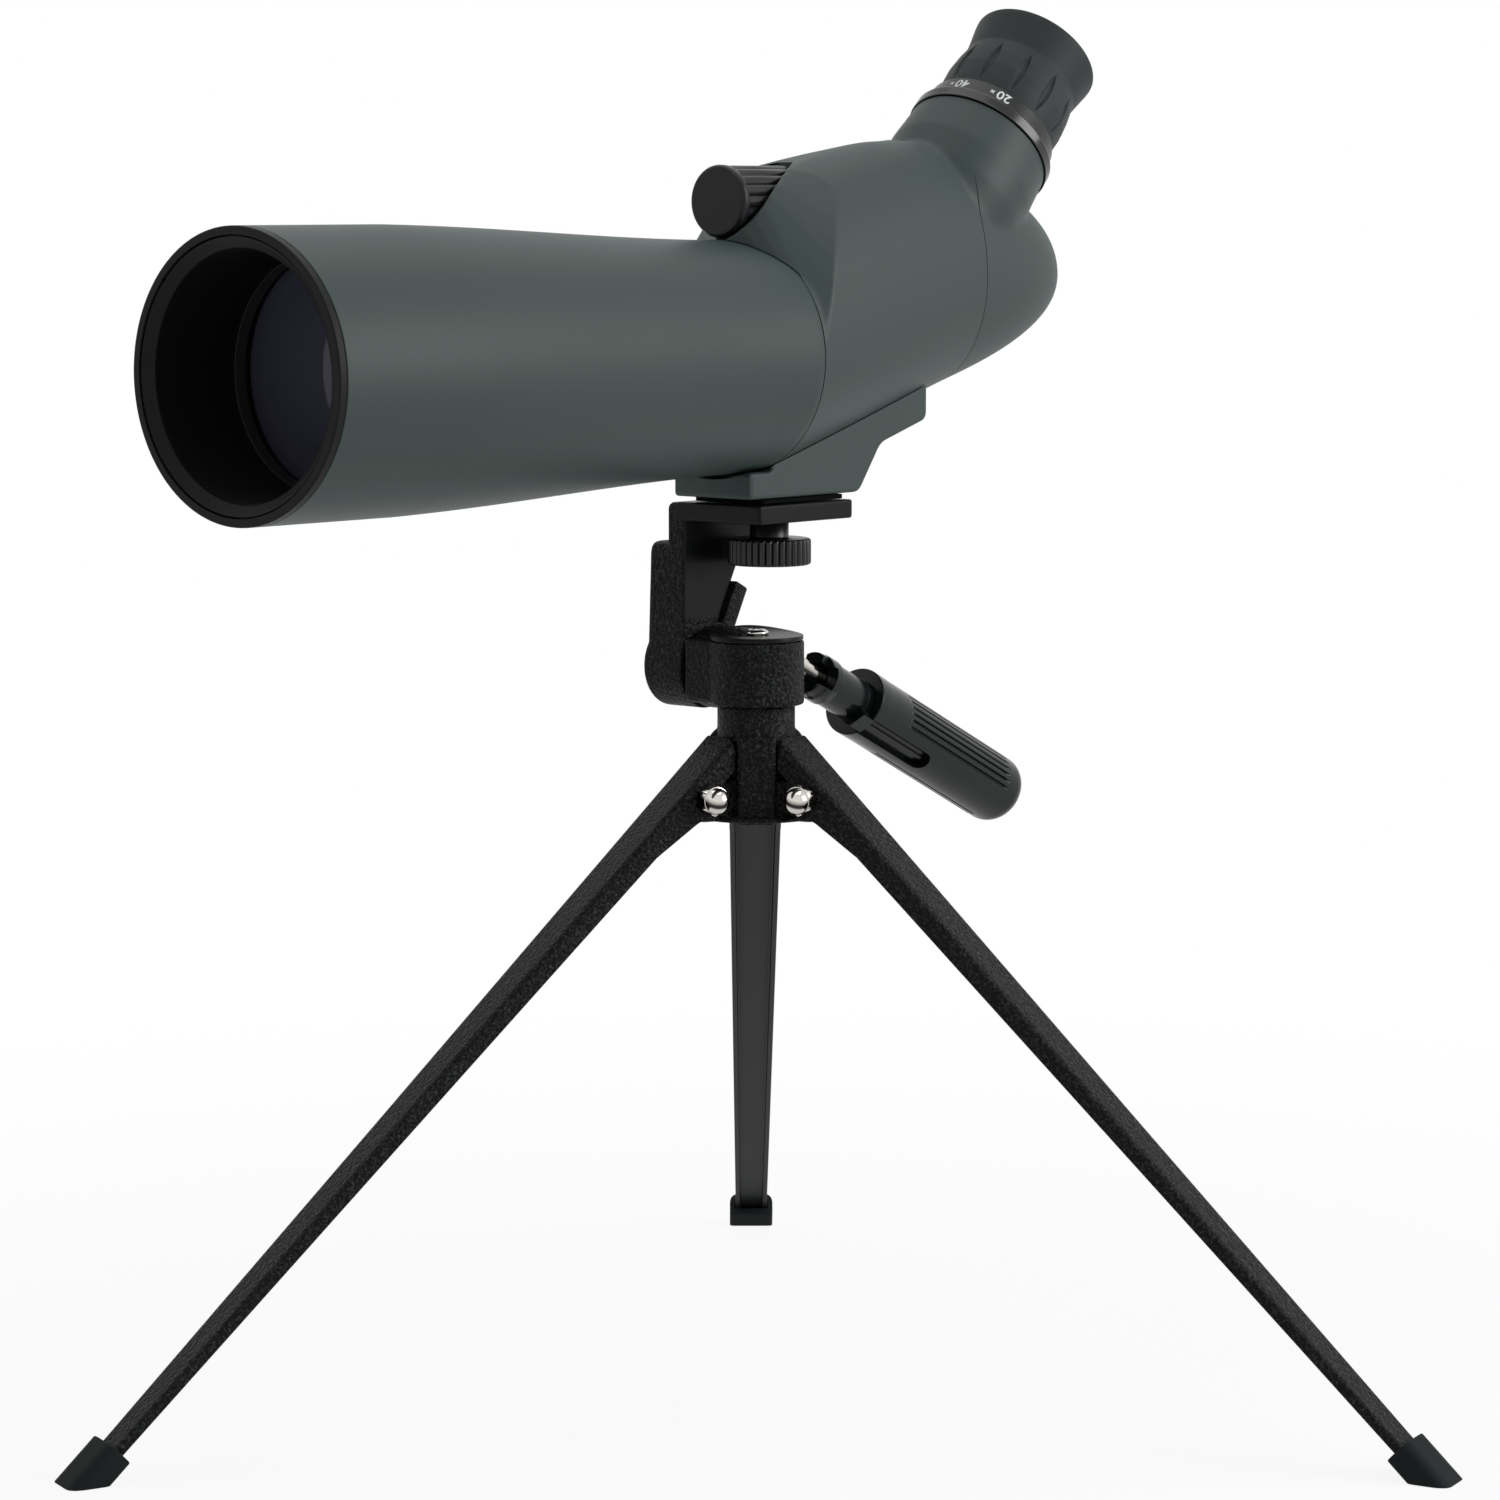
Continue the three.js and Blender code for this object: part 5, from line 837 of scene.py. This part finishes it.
worked(pan, "DIFFERENCE", rod(5.4, pan_bottom - 5, pan_top - 3.0, column_axis, [0, 0, 1]),
       rod(2.1, pan_bottom, pan_top + 5, column_axis, [0, 0, 1], 32),
       rod(3.2, -22, -5.7, tilt_axis, outwards_x), rod(3.3, 10.2, 30, handle_start, handlewards, 48))
fitted(pan, "pan_head", wrinkle, "wrinkle_black", "pan_body", crease=40)
disc_black = coat_of("disc_black", (10, 11, 11), 0.36, specular=0.1, pebble=1600, depth=0.03)


def disc_rows(steps=192):
    """Disc with a rim that rises behind: z(t, r) = z + 1.7 (r / R)^6 exp(-((t - t0) / w)^2)."""
    radius = np.array([2.1, 6, 9, 11, 12, 12.8, 13.2, 13.4, 13.5])
    top, under = np.full(9, pan_top + 1.5), np.full(9, pan_top + 0.3)
    top[-2:], under[-1] = (pan_top + 1.44, pan_top + 1.25), pan_top + 0.45
    r = np.concatenate([radius, radius[::-1]])
    z = np.concatenate([top, under[::-1]])
    t = np.linspace(0, 2 * np.pi, steps, endpoint=False)
    lift = 1.7 * (r[:, None] / 13.5) ** 6 * np.exp(-((t[None, :] - 2.5) / 0.9) ** 2)
    return np.stack([r[:, None] * np.cos(t), r[:, None] * np.sin(t), z[:, None] + lift], -1)


disc = skin("pan_disc_plate", disc_rows(), ring=True)
stop_room = plate("stop_room", lug_outline, scope_side - 20.7, scope_side - 12.5, 0.4,
                  along_x(np.array([0, -0.2, 0])))
worked(disc, "DIFFERENCE", stop_room)
fitted(disc, "pan_head", disc_black, "disc_black", "pan_disc")
# Painted highlight: the disc's lower rim and edge get the lighter retainer finish, as a bright line where the
# edge catches light.
second_finish(disc, retainer_black,
              lambda middles, normals: (middles[:, 2] < pan_top + 0.7) & (normals[:, 2] > -0.9))

# Bright chrome, on the screw, the handle's rod and the leg bolts and nuts
chrome = coat_of("bright_chrome", (225, 222, 218), 0.12, metallic=1.0, cloud=0.06, spread=0.06, pebble=1500,
                 depth=0.003)
nodes, links = chrome.node_tree.nodes, chrome.node_tree.links
# Painted reflection: the chrome's colour is multiplied by dark and bright bands chosen by the way each face
# points, as if it mirrored a studio of dark and white areas.
facing = node(nodes, "NewGeometry")
lean_way = node(nodes, "VectorMath", {1: (0.4, -0.25, 0.88)}, operation="DOT_PRODUCT")
links.new(facing.outputs["Normal"], lean_way.inputs[0])
band = node(nodes, "MapRange", {"From Min": -1})
links.new(lean_way.outputs["Value"], band.inputs["Value"])
painted_reflection_bands = node(nodes, "ValToRGB")
stops = painted_reflection_bands.color_ramp.elements
stops[0].color, stops[1].color = (0.2, 0.19, 0.18, 1), (0.75, 0.74, 0.73, 1)
for place, level in ((0.3, 0.7), (0.42, 0.75), (0.5, 0.05), (0.6, 0.04), (0.68, 0.5), (0.78, 0.9),
                     (0.9, 0.85)):
    stops.new(place).color = (level, level * 0.98, level * 0.96, 1)
links.new(band.outputs["Result"], painted_reflection_bands.inputs["Fac"])
metal = chrome.node_tree.nodes["Principled BSDF"]
mixed = node(nodes, "Mix", {"Factor": 1.0}, data_type="RGBA", blend_type="MULTIPLY")
links.new(metal.inputs["Base Color"].links[0].from_socket, mixed.inputs["A"])
links.new(painted_reflection_bands.outputs["Color"], mixed.inputs["B"])
links.new(mixed.outputs["Result"], metal.inputs["Base Color"])
screw_seat = pan_top + 1.8
screw_head = turned("pan_screw_turning", eased([[screw_seat, 0], [screw_seat, 3.6], [screw_seat + 0.6, 3.6],
                                                [screw_seat + 1.25, 2.6], [screw_seat + 1.5, 0]],
                                               [0.1, 0.15, 0.5, 0.8, 0.1], closed=False), column_axis,
                    [0, 0, 1], 96)
cross = skin("cross",
             np.array([[[x, y, z] for x, y in ((-2.2, -.5), (-.5, -.5), (-.5, -2.2), (.5, -2.2), (.5, -.5),
                                               (2.2, -.5), (2.2, .5), (.5, .5), (.5, 2.2), (-.5, 2.2),
                                               (-.5, .5), (-2.2, .5))]
                       for z in (screw_seat + 0.7, screw_seat + 3)]))
shank = rod(1.8, 198, screw_seat + 0.5, column_axis, [0, 0, 1], 48)
worked(screw_head, "UNION", shank)
worked(screw_head, "DIFFERENCE", cross)
fitted(screw_head, "tripod", chrome, "bright_chrome", "pan_screw")

# Pan handle. A chromed rod screwed into the pan body, and a glossy black grip moulding on it:
# a neck with a bead and a long side slot, then a thick grip with groups of fine grooves.
gloss_black = coat_of("handle_gloss", (19, 23, 24), 0.2, specular=0.24, cloud=0.1, pebble=900, depth=0.008)
handle_rod = turned("handle_rod_bar", eased([[6.82, 0], [6.82, 3], [51.1, 3], [51.1, 0]],
                                            [0.1, 0.5, 0.5, 0.1], closed=False), handle_start, handlewards,
                    64)
fitted(handle_rod, "pan_handle", chrome, "bright_chrome", "handle_rod")


def handle_rows(steps=720):
    """Grip: r(t, s) = r(s) - d g(t) e(s), with g a row of narrow V hollows at even steps about
    two sides and e fading at their ends."""
    neck = eased([[25.1, 0], [25.1, 6.4], [28.4, 6.7], [29.4, 7.05], [33.8, 7.05], [34.3, 6.5], [47.2, 6.5],
                  [47.2, 6.8], [48.0, 6.8], [48.0, 6.4], [49.2, 6.4], [49.2, 10.4], [55, 10.35]],
                 [0.1, 1.0, 0.5, 0.6, 0.4, 0.3, 0.05, 0.2, 0.2, 0.05, 0.05, 0.35, 0.5], closed=False)
    s = np.concatenate([neck[:, 0], np.linspace(56, 121, 90)])
    radius = np.concatenate([neck[:, 1], np.full(90, 10.3)])
    bend = np.linspace(0, np.pi / 2, 16)
    s = np.concatenate([s, 121.5 + 6 * np.sin(bend)])
    radius = np.concatenate([radius, 4.3 + 6 * np.cos(bend)])
    s, radius = np.append(s, 127.5), np.append(radius, 0)
    t = np.linspace(0, 2 * np.pi, steps, endpoint=False)
    turn = np.degrees(t)
    groove = np.zeros(steps)
    for side in (61, 215):
        for i in range(7):
            away = (turn - side - (i - 3) * 12 + 180) % 360 - 180
            groove = np.maximum(groove, np.clip(1.4 - np.abs(away) / 2.2, 0, 1))
    reach = np.clip((s - 65) / 0.7, 0, 1) * np.clip((117 - s) / 0.7, 0, 1)
    side = radius[:, None] - 0.75 * groove[None, :] * reach[:, None]
    across = np.array([0, handlewards[2], -handlewards[1]]) * -1
    circle = np.cos(t)[:, None] * across + np.sin(t)[:, None] * outwards_x
    return handle_start + s[:, None, None] * handlewards + side[..., None] * circle


def handle_frame(local, turn):
    """Places points drawn about the handle's axis (x across, y along, z out) at a turn."""
    turn = np.radians(turn)
    x, y, z = np.moveaxis(np.asarray(local, float), -1, 0)
    x, z = x * np.cos(turn) + z * np.sin(turn), z * np.cos(turn) - x * np.sin(turn)
    lift = np.array([0, np.sin(slope), np.cos(slope)])
    return handle_start + x[..., None] * outwards_x + y[..., None] * handlewards + z[..., None] * lift


handle = skin("handle_grip_moulding", handle_rows())
arc = np.linspace(0, np.pi, 24)
slot_turn, slot_half, slot_end = 138, 3.25, 77.7
slot_outline = np.vstack([[[-slot_half, 31]],
                          np.stack([-slot_half * np.cos(arc), slot_end + slot_half * np.sin(arc)], 1),
                          [[slot_half, 31]]])


def handle_block(name, x, y, z, turn):
    """A block between pairs of limits, drawn about the handle's axis at a turn."""
    return skin(name, handle_frame([[[a, b, c] for a, b in ((x[0], y[0]), (x[1], y[0]), (x[1], y[1]),
                                                            (x[0], y[1]))] for c in z], turn))


slot = skin("slot", handle_frame([[[x, y, z] for x, y in slot_outline] for z in (6.6, 14)], slot_turn))
worked(handle, "DIFFERENCE", slot, rod(3.3, 20, 51.4, handle_start, handlewards, 48),
       handle_block("fork", (-12, 12), (20, 31), (-3.4, 3.4), 0),
       handle_block("prong_side", (3.2, 12), (20, 29), (0, 12), 0),
       handle_block("prong_back", (-12, -3.2), (20, 29), (0, 12), 0),
       handle_block("prong_front", (-12, 12), (20, 26.6), (0, 12), 0))
worked(handle, "UNION", handle_block("bar", (-1.9, 1.9), (49.5, 79), (6.2, 7.9), slot_turn),
       handle_block("ridge", (-0.5, 0.5), (49.5, 79), (7.8, 8.5), slot_turn),
       handle_block("tongue", (-2.8, 2.8), (45.4, 50.8), (5.2, 9.4), slot_turn))
fitted(handle, "pan_handle", gloss_black, "handle_gloss", "handle_grip", crease=38)

# Tripod hub. A casting: the column that the head turns on, with three flat ribs, a round foot
# and flange, and three lugs that the legs swing on.
hub_base, pivot_height, column_top = 166.0, 173.0, 198.0
hub_turn = np.radians(131.1)


def about_hub(points, turn):
    """Turns points about the column from the first leg's direction by the hub's turn and a further one."""
    angle = hub_turn + turn
    x, y, z = np.moveaxis(np.asarray(points, float), -1, 0)
    return np.stack([x * np.cos(angle) - y * np.sin(angle), x * np.sin(angle) + y * np.cos(angle), z], -1)


def hub_column(name, grow, steps=128):
    """The column's outline: a round foot, a cone and the plain column, grown all round."""
    return turned(name, [[hub_base - grow, 0], [hub_base - grow, 11.8 + grow], [pivot_height, 11.8 + grow],
                         [pivot_height + 4, 11.1 + grow], [column_top, 11.1 + grow], [column_top, 0]],
                  column_axis, [0, 0, 1], steps)


def hub_rib(name, turn, grow):
    """A flat-faced rib that stands out of the column between two legs, its top bevelled."""
    top = pivot_height + 17 + grow
    outline = eased([[0, hub_base - 1], [-13.6 - grow, hub_base - 1], [-13.6 - grow, top - 2.5],
                     [-10.6 - grow, top + 1.5], [0, top + 1.5]], [0.1, 0.3, 2.5, 2.5, 0.1])
    half = 5.5 + grow
    return plate(name, outline, -half, half, 0.8 if grow == 0 else 0.1,
                 lambda rows: about_hub(np.stack([rows[..., 0], rows[..., 2], rows[..., 1]], -1), turn))


lug_half = 6.15
hub = hub_column("hub_casting", 0.0)
leg_turns = np.radians([0, 120, 240])
flange = turned("flange", eased([[hub_base, 0], [hub_base, 17.6], [hub_base + 1.4, 17.6],
                                 [hub_base + 1.4, 0]], [0.1, 0.5, 0.5, 0.1], closed=False), column_axis,
                [0, 0, 1], 128)
lug_side = eased([[0, hub_base + 0.1], [22.2, hub_base + 0.1], [24.5, pivot_height - 2.5],
                  [24.5, pivot_height + 4.5], [0, pivot_height + 4.5]], [0.1, 2, 3, 4.4, 0.1])
parts = [flange]
for turn in leg_turns:
    parts.append(hub_rib("rib", turn, 0))
    parts.append(plate("lug", lug_side, -lug_half, lug_half, 0.5,
                       lambda rows, turn=turn: about_hub(np.stack([rows[..., 0], rows[..., 2], rows[..., 1]],
                                                                  -1), turn)))
worked(hub, "UNION", *parts)
cast(hub, 0.45, 3)
for turn in leg_turns:
    pivot = about_hub([20, 0, pivot_height], turn)
    worked(hub, "DIFFERENCE", rod(2.2, -12, 12, pivot, about_hub([0, 1, 0], turn), 32))
worked(hub, "UNION", rod(5, column_top - 1, 213.4, column_axis, [0, 0, 1], 64))
worked(hub, "DIFFERENCE", rod(2.1, column_top - 1.5, 220, column_axis, [0, 0, 1], 32))
fitted(hub, "tripod", wrinkle, "wrinkle_black", "tripod_hub", crease=40)

# Legs. Three folded sheet-steel channels, open inwards, that taper to the floor; two ears at
# the head of each take a chromed bolt with a domed nut. The outside is wrinkle enamel and the
# hollow side smooth; a rubber foot is pushed over each end and cut flat on the floor.
splay, head_length = np.radians(46.92), 17.0
channel_black = coat_of("channel_black", (30, 32, 32), 0.42, specular=0.22, cloud=0.12, pebble=1800,
                        depth=0.01)
foot_rubber = coat_of("foot_rubber", (28, 32, 33), 0.7, specular=0.1, cloud=0.1, pebble=1500, depth=0.02)


def leg_frame(points, turn):
    """Places points drawn from the pivot, x down the leg, y across and z out of its web."""
    x, y, z = np.moveaxis(np.asarray(points, float), -1, 0)
    down, out = np.cos(splay), np.sin(splay)
    return about_hub(np.stack([20 + x * out + z * down, y, pivot_height - x * down + z * out], -1), turn)


def leg_size(x):
    """Half width, lower edge and upper face of the channel: 7.95 to 5.3 across and 6.9 to 3 deep."""
    share = (np.asarray(x, float) + head_length) / 250
    depth = 6.9 - 3.9 * share
    return (15.9 - 5.3 * share) / 2, 3.1 - depth / 2, 3.1 + depth / 2


def channel_rows(places, turn):
    """Rows of the folded channel: its section keeps a 1.5 wall and a bend radius of 2 outside."""
    rows = []
    for x in places:
        half, low, high = leg_size(x)
        section = eased([[-half, low], [-half, high], [half, high], [half, low], [half - 1.5, low],
                         [half - 1.5, high - 1.5], [1.5 - half, high - 1.5], [1.5 - half, low]],
                        [0.3, 2.0, 2.0, 0.3, 0.3, 0.6, 0.6, 0.3])
        rows.append(np.column_stack([np.full(len(section), x), section]))
    return leg_frame(rows, turn)


floor_along = (pivot_height + 3.1 * np.sin(splay)) / np.cos(splay)
leg_end = floor_along - 3.4 - 3.0
ear_low, ear_high = leg_size(24.0)[1], leg_size(0.0)[2]
ear_outline = eased([[-9.4, ear_high - 1.4], [-5.8, 0], [-3.5, -5.8], [3.5, -5.8], [5.8, -2.9],
                     [24, ear_low + 0.2], [24, ear_low + 1.5], [0, ear_high - 1.4]],
                    [0.5, 3, 3, 3, 3, 0.3, 0.3, 0.3])
head_outline = eased([[-head_length, -8.2], [-head_length, 8.2], [leg_end + 9, 8.2], [leg_end + 9, -8.2]],
                     [3.4, 3.4, 0.1, 0.1])
for number, turn in enumerate(leg_turns, 1):
    leg = skin(f"leg_channel_{number}", channel_rows(np.linspace(-head_length - 3, leg_end, 12), turn))
    for side in (-1, 1):
        worked(leg, "UNION", plate("ear", ear_outline, min(side * 6.3, side * 7.6),
                                   max(side * 6.3, side * 7.6), 0.3,
                                   lambda rows, turn=turn: leg_frame(rows[..., [0, 2, 1]], turn)))
    worked(leg, "INTERSECT", plate("head", head_outline, -12, 12, 0.1,
                                   lambda rows, turn=turn: leg_frame(rows, turn)))
    worked(leg, "DIFFERENCE", rod(2.2, -12, 12, leg_frame([0, 0, 0], turn), about_hub([0, 1, 0], turn), 32),
           hub_column("room", 0.5), hub_rib("rib_room", turn + np.pi * 2 / 3, 0.5),
           hub_rib("rib_room", turn - np.pi * 2 / 3, 0.5),
           turned("flange_room", [[hub_base - 1, 0], [hub_base - 1, 18.1], [hub_base + 1.9, 18.1],
                                  [hub_base + 1.9, 0]], column_axis, [0, 0, 1], 128))
    fitted(leg, f"leg_{number}", wrinkle, "wrinkle_black", f"tripod_leg_{number}", crease=40)
    outwards = leg_frame([0, 0, 1], turn) - leg_frame([0, 0, 0], turn)
    second_finish(leg, channel_black, lambda middles, normals, outwards=outwards: normals @ outwards < -0.3)

    half, low, high = leg_size(floor_along)
    shoe_outline = eased([[-7.1, low - 2.6], [7.1, low - 2.6], [7.1, high + 2.9], [-7.1, high + 2.9]],
                         [1.5, 1.5, 6.4, 6.4], 7)
    start = floor_along - 12
    shoe = plate(f"rubber_foot_{number}_sock", shoe_outline, start, floor_along + 16, 0.5,
                 lambda rows, turn=turn: leg_frame(rows[..., [2, 0, 1]], turn))
    room_rows = []
    for x in (start - 2, leg_end + 0.4):
        half, low, high = leg_size(x)
        room_rows.append([[x, -half - 0.3, low - 0.3], [x, half + 0.3, low - 0.3],
                          [x, half + 0.3, high + 0.3], [x, -half - 0.3, high + 0.3]])
    worked(shoe, "DIFFERENCE", skin("room", leg_frame(room_rows, turn)),
           slab("under", [[-400, -400], [400, -400], [400, 400], [-400, 400]], -80, 0, 2, np.zeros(3)))
    fitted(shoe, f"leg_{number}", foot_rubber, "foot_rubber", f"rubber_foot_{number}", crease=40)

    nut_side = -1.0 if number == 3 else 1.0
    bolt_start, bolt_way = about_hub([20, 0, pivot_height], turn), about_hub([0, nut_side, 0], turn)
    reach = leg_size(0.0)[0] + 0.3
    bolt_profile = eased([[-reach - 2.2, 0], [-reach - 2.2, 2.0], [-reach - 1.5, 3.4], [-reach, 3.4],
                          [-reach, 1.9], [reach + 3.4, 1.9], [reach + 3.4, 0]],
                         [0.1, 0.9, 0.9, 0.1, 0.1, 0.4, 0.1], closed=False)
    bolt = turned(f"leg_bolt_{number}_turning", bolt_profile, bolt_start, bolt_way, 64)
    fitted(bolt, "tripod", chrome, "bright_chrome", f"leg_bolt_{number}")
    t = np.linspace(0, 2 * np.pi, 96, endpoint=False)
    hexagon = 4 / np.cos((t + np.pi / 6) % (np.pi / 3) - np.pi / 6)
    lift = np.linspace(0, 1, 10)
    hex_rows = [(reach, 4.0, 0.0), (reach, 4.0, 1.0), (reach + 0.35, 4.3, 1.0), (reach + 3.2, 4.3, 1.0),
                (reach + 4, 3.95, 1.0)]
    rows = []
    for s, limit, cut in hex_rows:
        rows.append((s, np.minimum(hexagon, limit + 0.32 * (limit > 4.1)) * (1 if cut else 0.5)))
    rows.append((reach + 4.05, np.full(96, 3.75)))
    for angle in np.linspace(0, np.pi / 2, 14)[1:]:
        rows.append((reach + 4.1 + 3.7 * np.sin(angle), np.full(96, 3.7 * np.cos(angle))))
    across = about_hub([nut_side, 0, 0], turn)
    above = np.cross(bolt_way, across)
    circle = np.cos(t)[:, None] * across + np.sin(t)[:, None] * above
    nut = skin(f"acorn_nut_{number}_turning", np.array([bolt_start + s * bolt_way + r[:, None] * circle
                                                        for s, r in rows]))
    worked(nut, "DIFFERENCE", rod(2.2, reach - 2, reach + 3.8, bolt_start, bolt_way, 32))
    fitted(nut, "tripod", chrome, "bright_chrome", f"acorn_nut_{number}", crease=28)

# Room. A pale floor that fades to a white backdrop, soft lamps and the camera at the
# photograph's angle.
azimuth, elevation, distance = np.radians(40.71), np.radians(6.89), 1319.16
backwards = np.array([np.sin(azimuth) * np.cos(elevation), -np.cos(azimuth) * np.cos(elevation),
                      np.sin(elevation)])
sideways = np.array([np.cos(azimuth), np.sin(azimuth), 0])
upwards = np.cross(backwards, sideways)
stand = column + sideways * -1.76 + np.array([0, 0, 184.99]) + backwards * distance
camera = bpy.data.objects.new("camera", bpy.data.cameras.new("camera"))
bpy.context.scene.collection.objects.link(camera)
seat = np.column_stack([sideways, upwards, backwards, stand * millimetre])
camera.matrix_world = Matrix([*seat.tolist(), [0, 0, 0, 1]])
camera.data.sensor_width = 36
camera.data.lens = 36 * 4613.73 / 1500
camera.data.clip_end = 30
bpy.context.scene.camera = camera
bpy.context.scene.view_settings.view_transform = "Standard"


def seen_ray(nodes, links):
    """1 for a ray from the camera, off a mirror or through glass, and 0 for any other."""
    ray = node(nodes, "LightPath")
    seen = node(nodes, "Math", operation="MAXIMUM")
    links.new(ray.outputs["Is Camera Ray"], seen.inputs[0])
    links.new(ray.outputs["Is Glossy Ray"], seen.inputs[1])
    also = node(nodes, "Math", operation="MAXIMUM")
    links.new(seen.outputs[0], also.inputs[0])
    links.new(ray.outputs["Is Transmission Ray"], also.inputs[1])
    return also.outputs[0]


backdrop = bpy.data.materials.new("backdrop")
backdrop.use_nodes = True
nodes, links = backdrop.node_tree.nodes, backdrop.node_tree.links
shader = nodes["Principled BSDF"]
shader.inputs["Base Color"].default_value = (0.9, 0.9, 0.9, 1)
shader.inputs["Roughness"].default_value = 0.9
shader.inputs["Specular IOR Level"].default_value = 0.1
paper = node(nodes, "Emission")
where = node(nodes, "TexCoord")
reach = node(nodes, "VectorMath", operation="LENGTH")
links.new(where.outputs["Object"], reach.inputs[0])
fade = node(nodes, "MapRange", {"From Min": 0.15, "From Max": 0.7, "To Min": 0.9},
            interpolation_type="SMOOTHSTEP")
links.new(reach.outputs["Value"], fade.inputs["Value"])
share = node(nodes, "Math", operation="MULTIPLY")
links.new(seen_ray(nodes, links), share.inputs[0])
links.new(fade.outputs["Result"], share.inputs[1])
mixed = node(nodes, "MixShader")
links.new(share.outputs[0], mixed.inputs[0])
links.new(shader.outputs[0], mixed.inputs[1])
links.new(paper.outputs[0], mixed.inputs[2])
links.new(mixed.outputs[0], nodes["Material Output"].inputs["Surface"])
floor_mesh = bpy.data.meshes.new("floor")
floor_mesh.from_pydata([(-6, -6, -0.0002), (6, -6, -0.0002), (6, 6, -0.0002), (-6, 6, -0.0002)], [],
                       [(0, 1, 2, 3)])
floor = bpy.data.objects.new("floor", floor_mesh)
bpy.context.scene.collection.objects.link(floor)
floor_mesh.materials.append(backdrop)

world = bpy.data.worlds.new("studio")
bpy.context.scene.world = world
world.use_nodes = True
nodes, links = world.node_tree.nodes, world.node_tree.links
sky = nodes["Background"]
level = node(nodes, "MapRange", {"To Min": 0.25, "To Max": 1.0})
links.new(seen_ray(nodes, links), level.inputs["Value"])
links.new(level.outputs["Result"], sky.inputs["Strength"])
sky.inputs["Color"].default_value = (1, 1, 1, 1)


def softbox(name, place, target, width, height, power):
    """A soft rectangular lamp at a place, facing a target."""
    lamp = bpy.data.lights.new(name, "AREA")
    lamp.shape, lamp.size, lamp.size_y, lamp.energy = "RECTANGLE", width, height, power
    holder = bpy.data.objects.new(name, lamp)
    bpy.context.scene.collection.objects.link(holder)
    holder.location = place
    holder.rotation_euler = (Vector(target) - Vector(place)).to_track_quat("-Z", "Y").to_euler()


softbox("overhead", (-0.1, 0.1, 1.7), (0, 0, 0.25), 1.6, 1.6, 8)
softbox("side", (1.4, 0.8, 0.8), (0, 0, 0.25), 0.9, 1.0, 17)
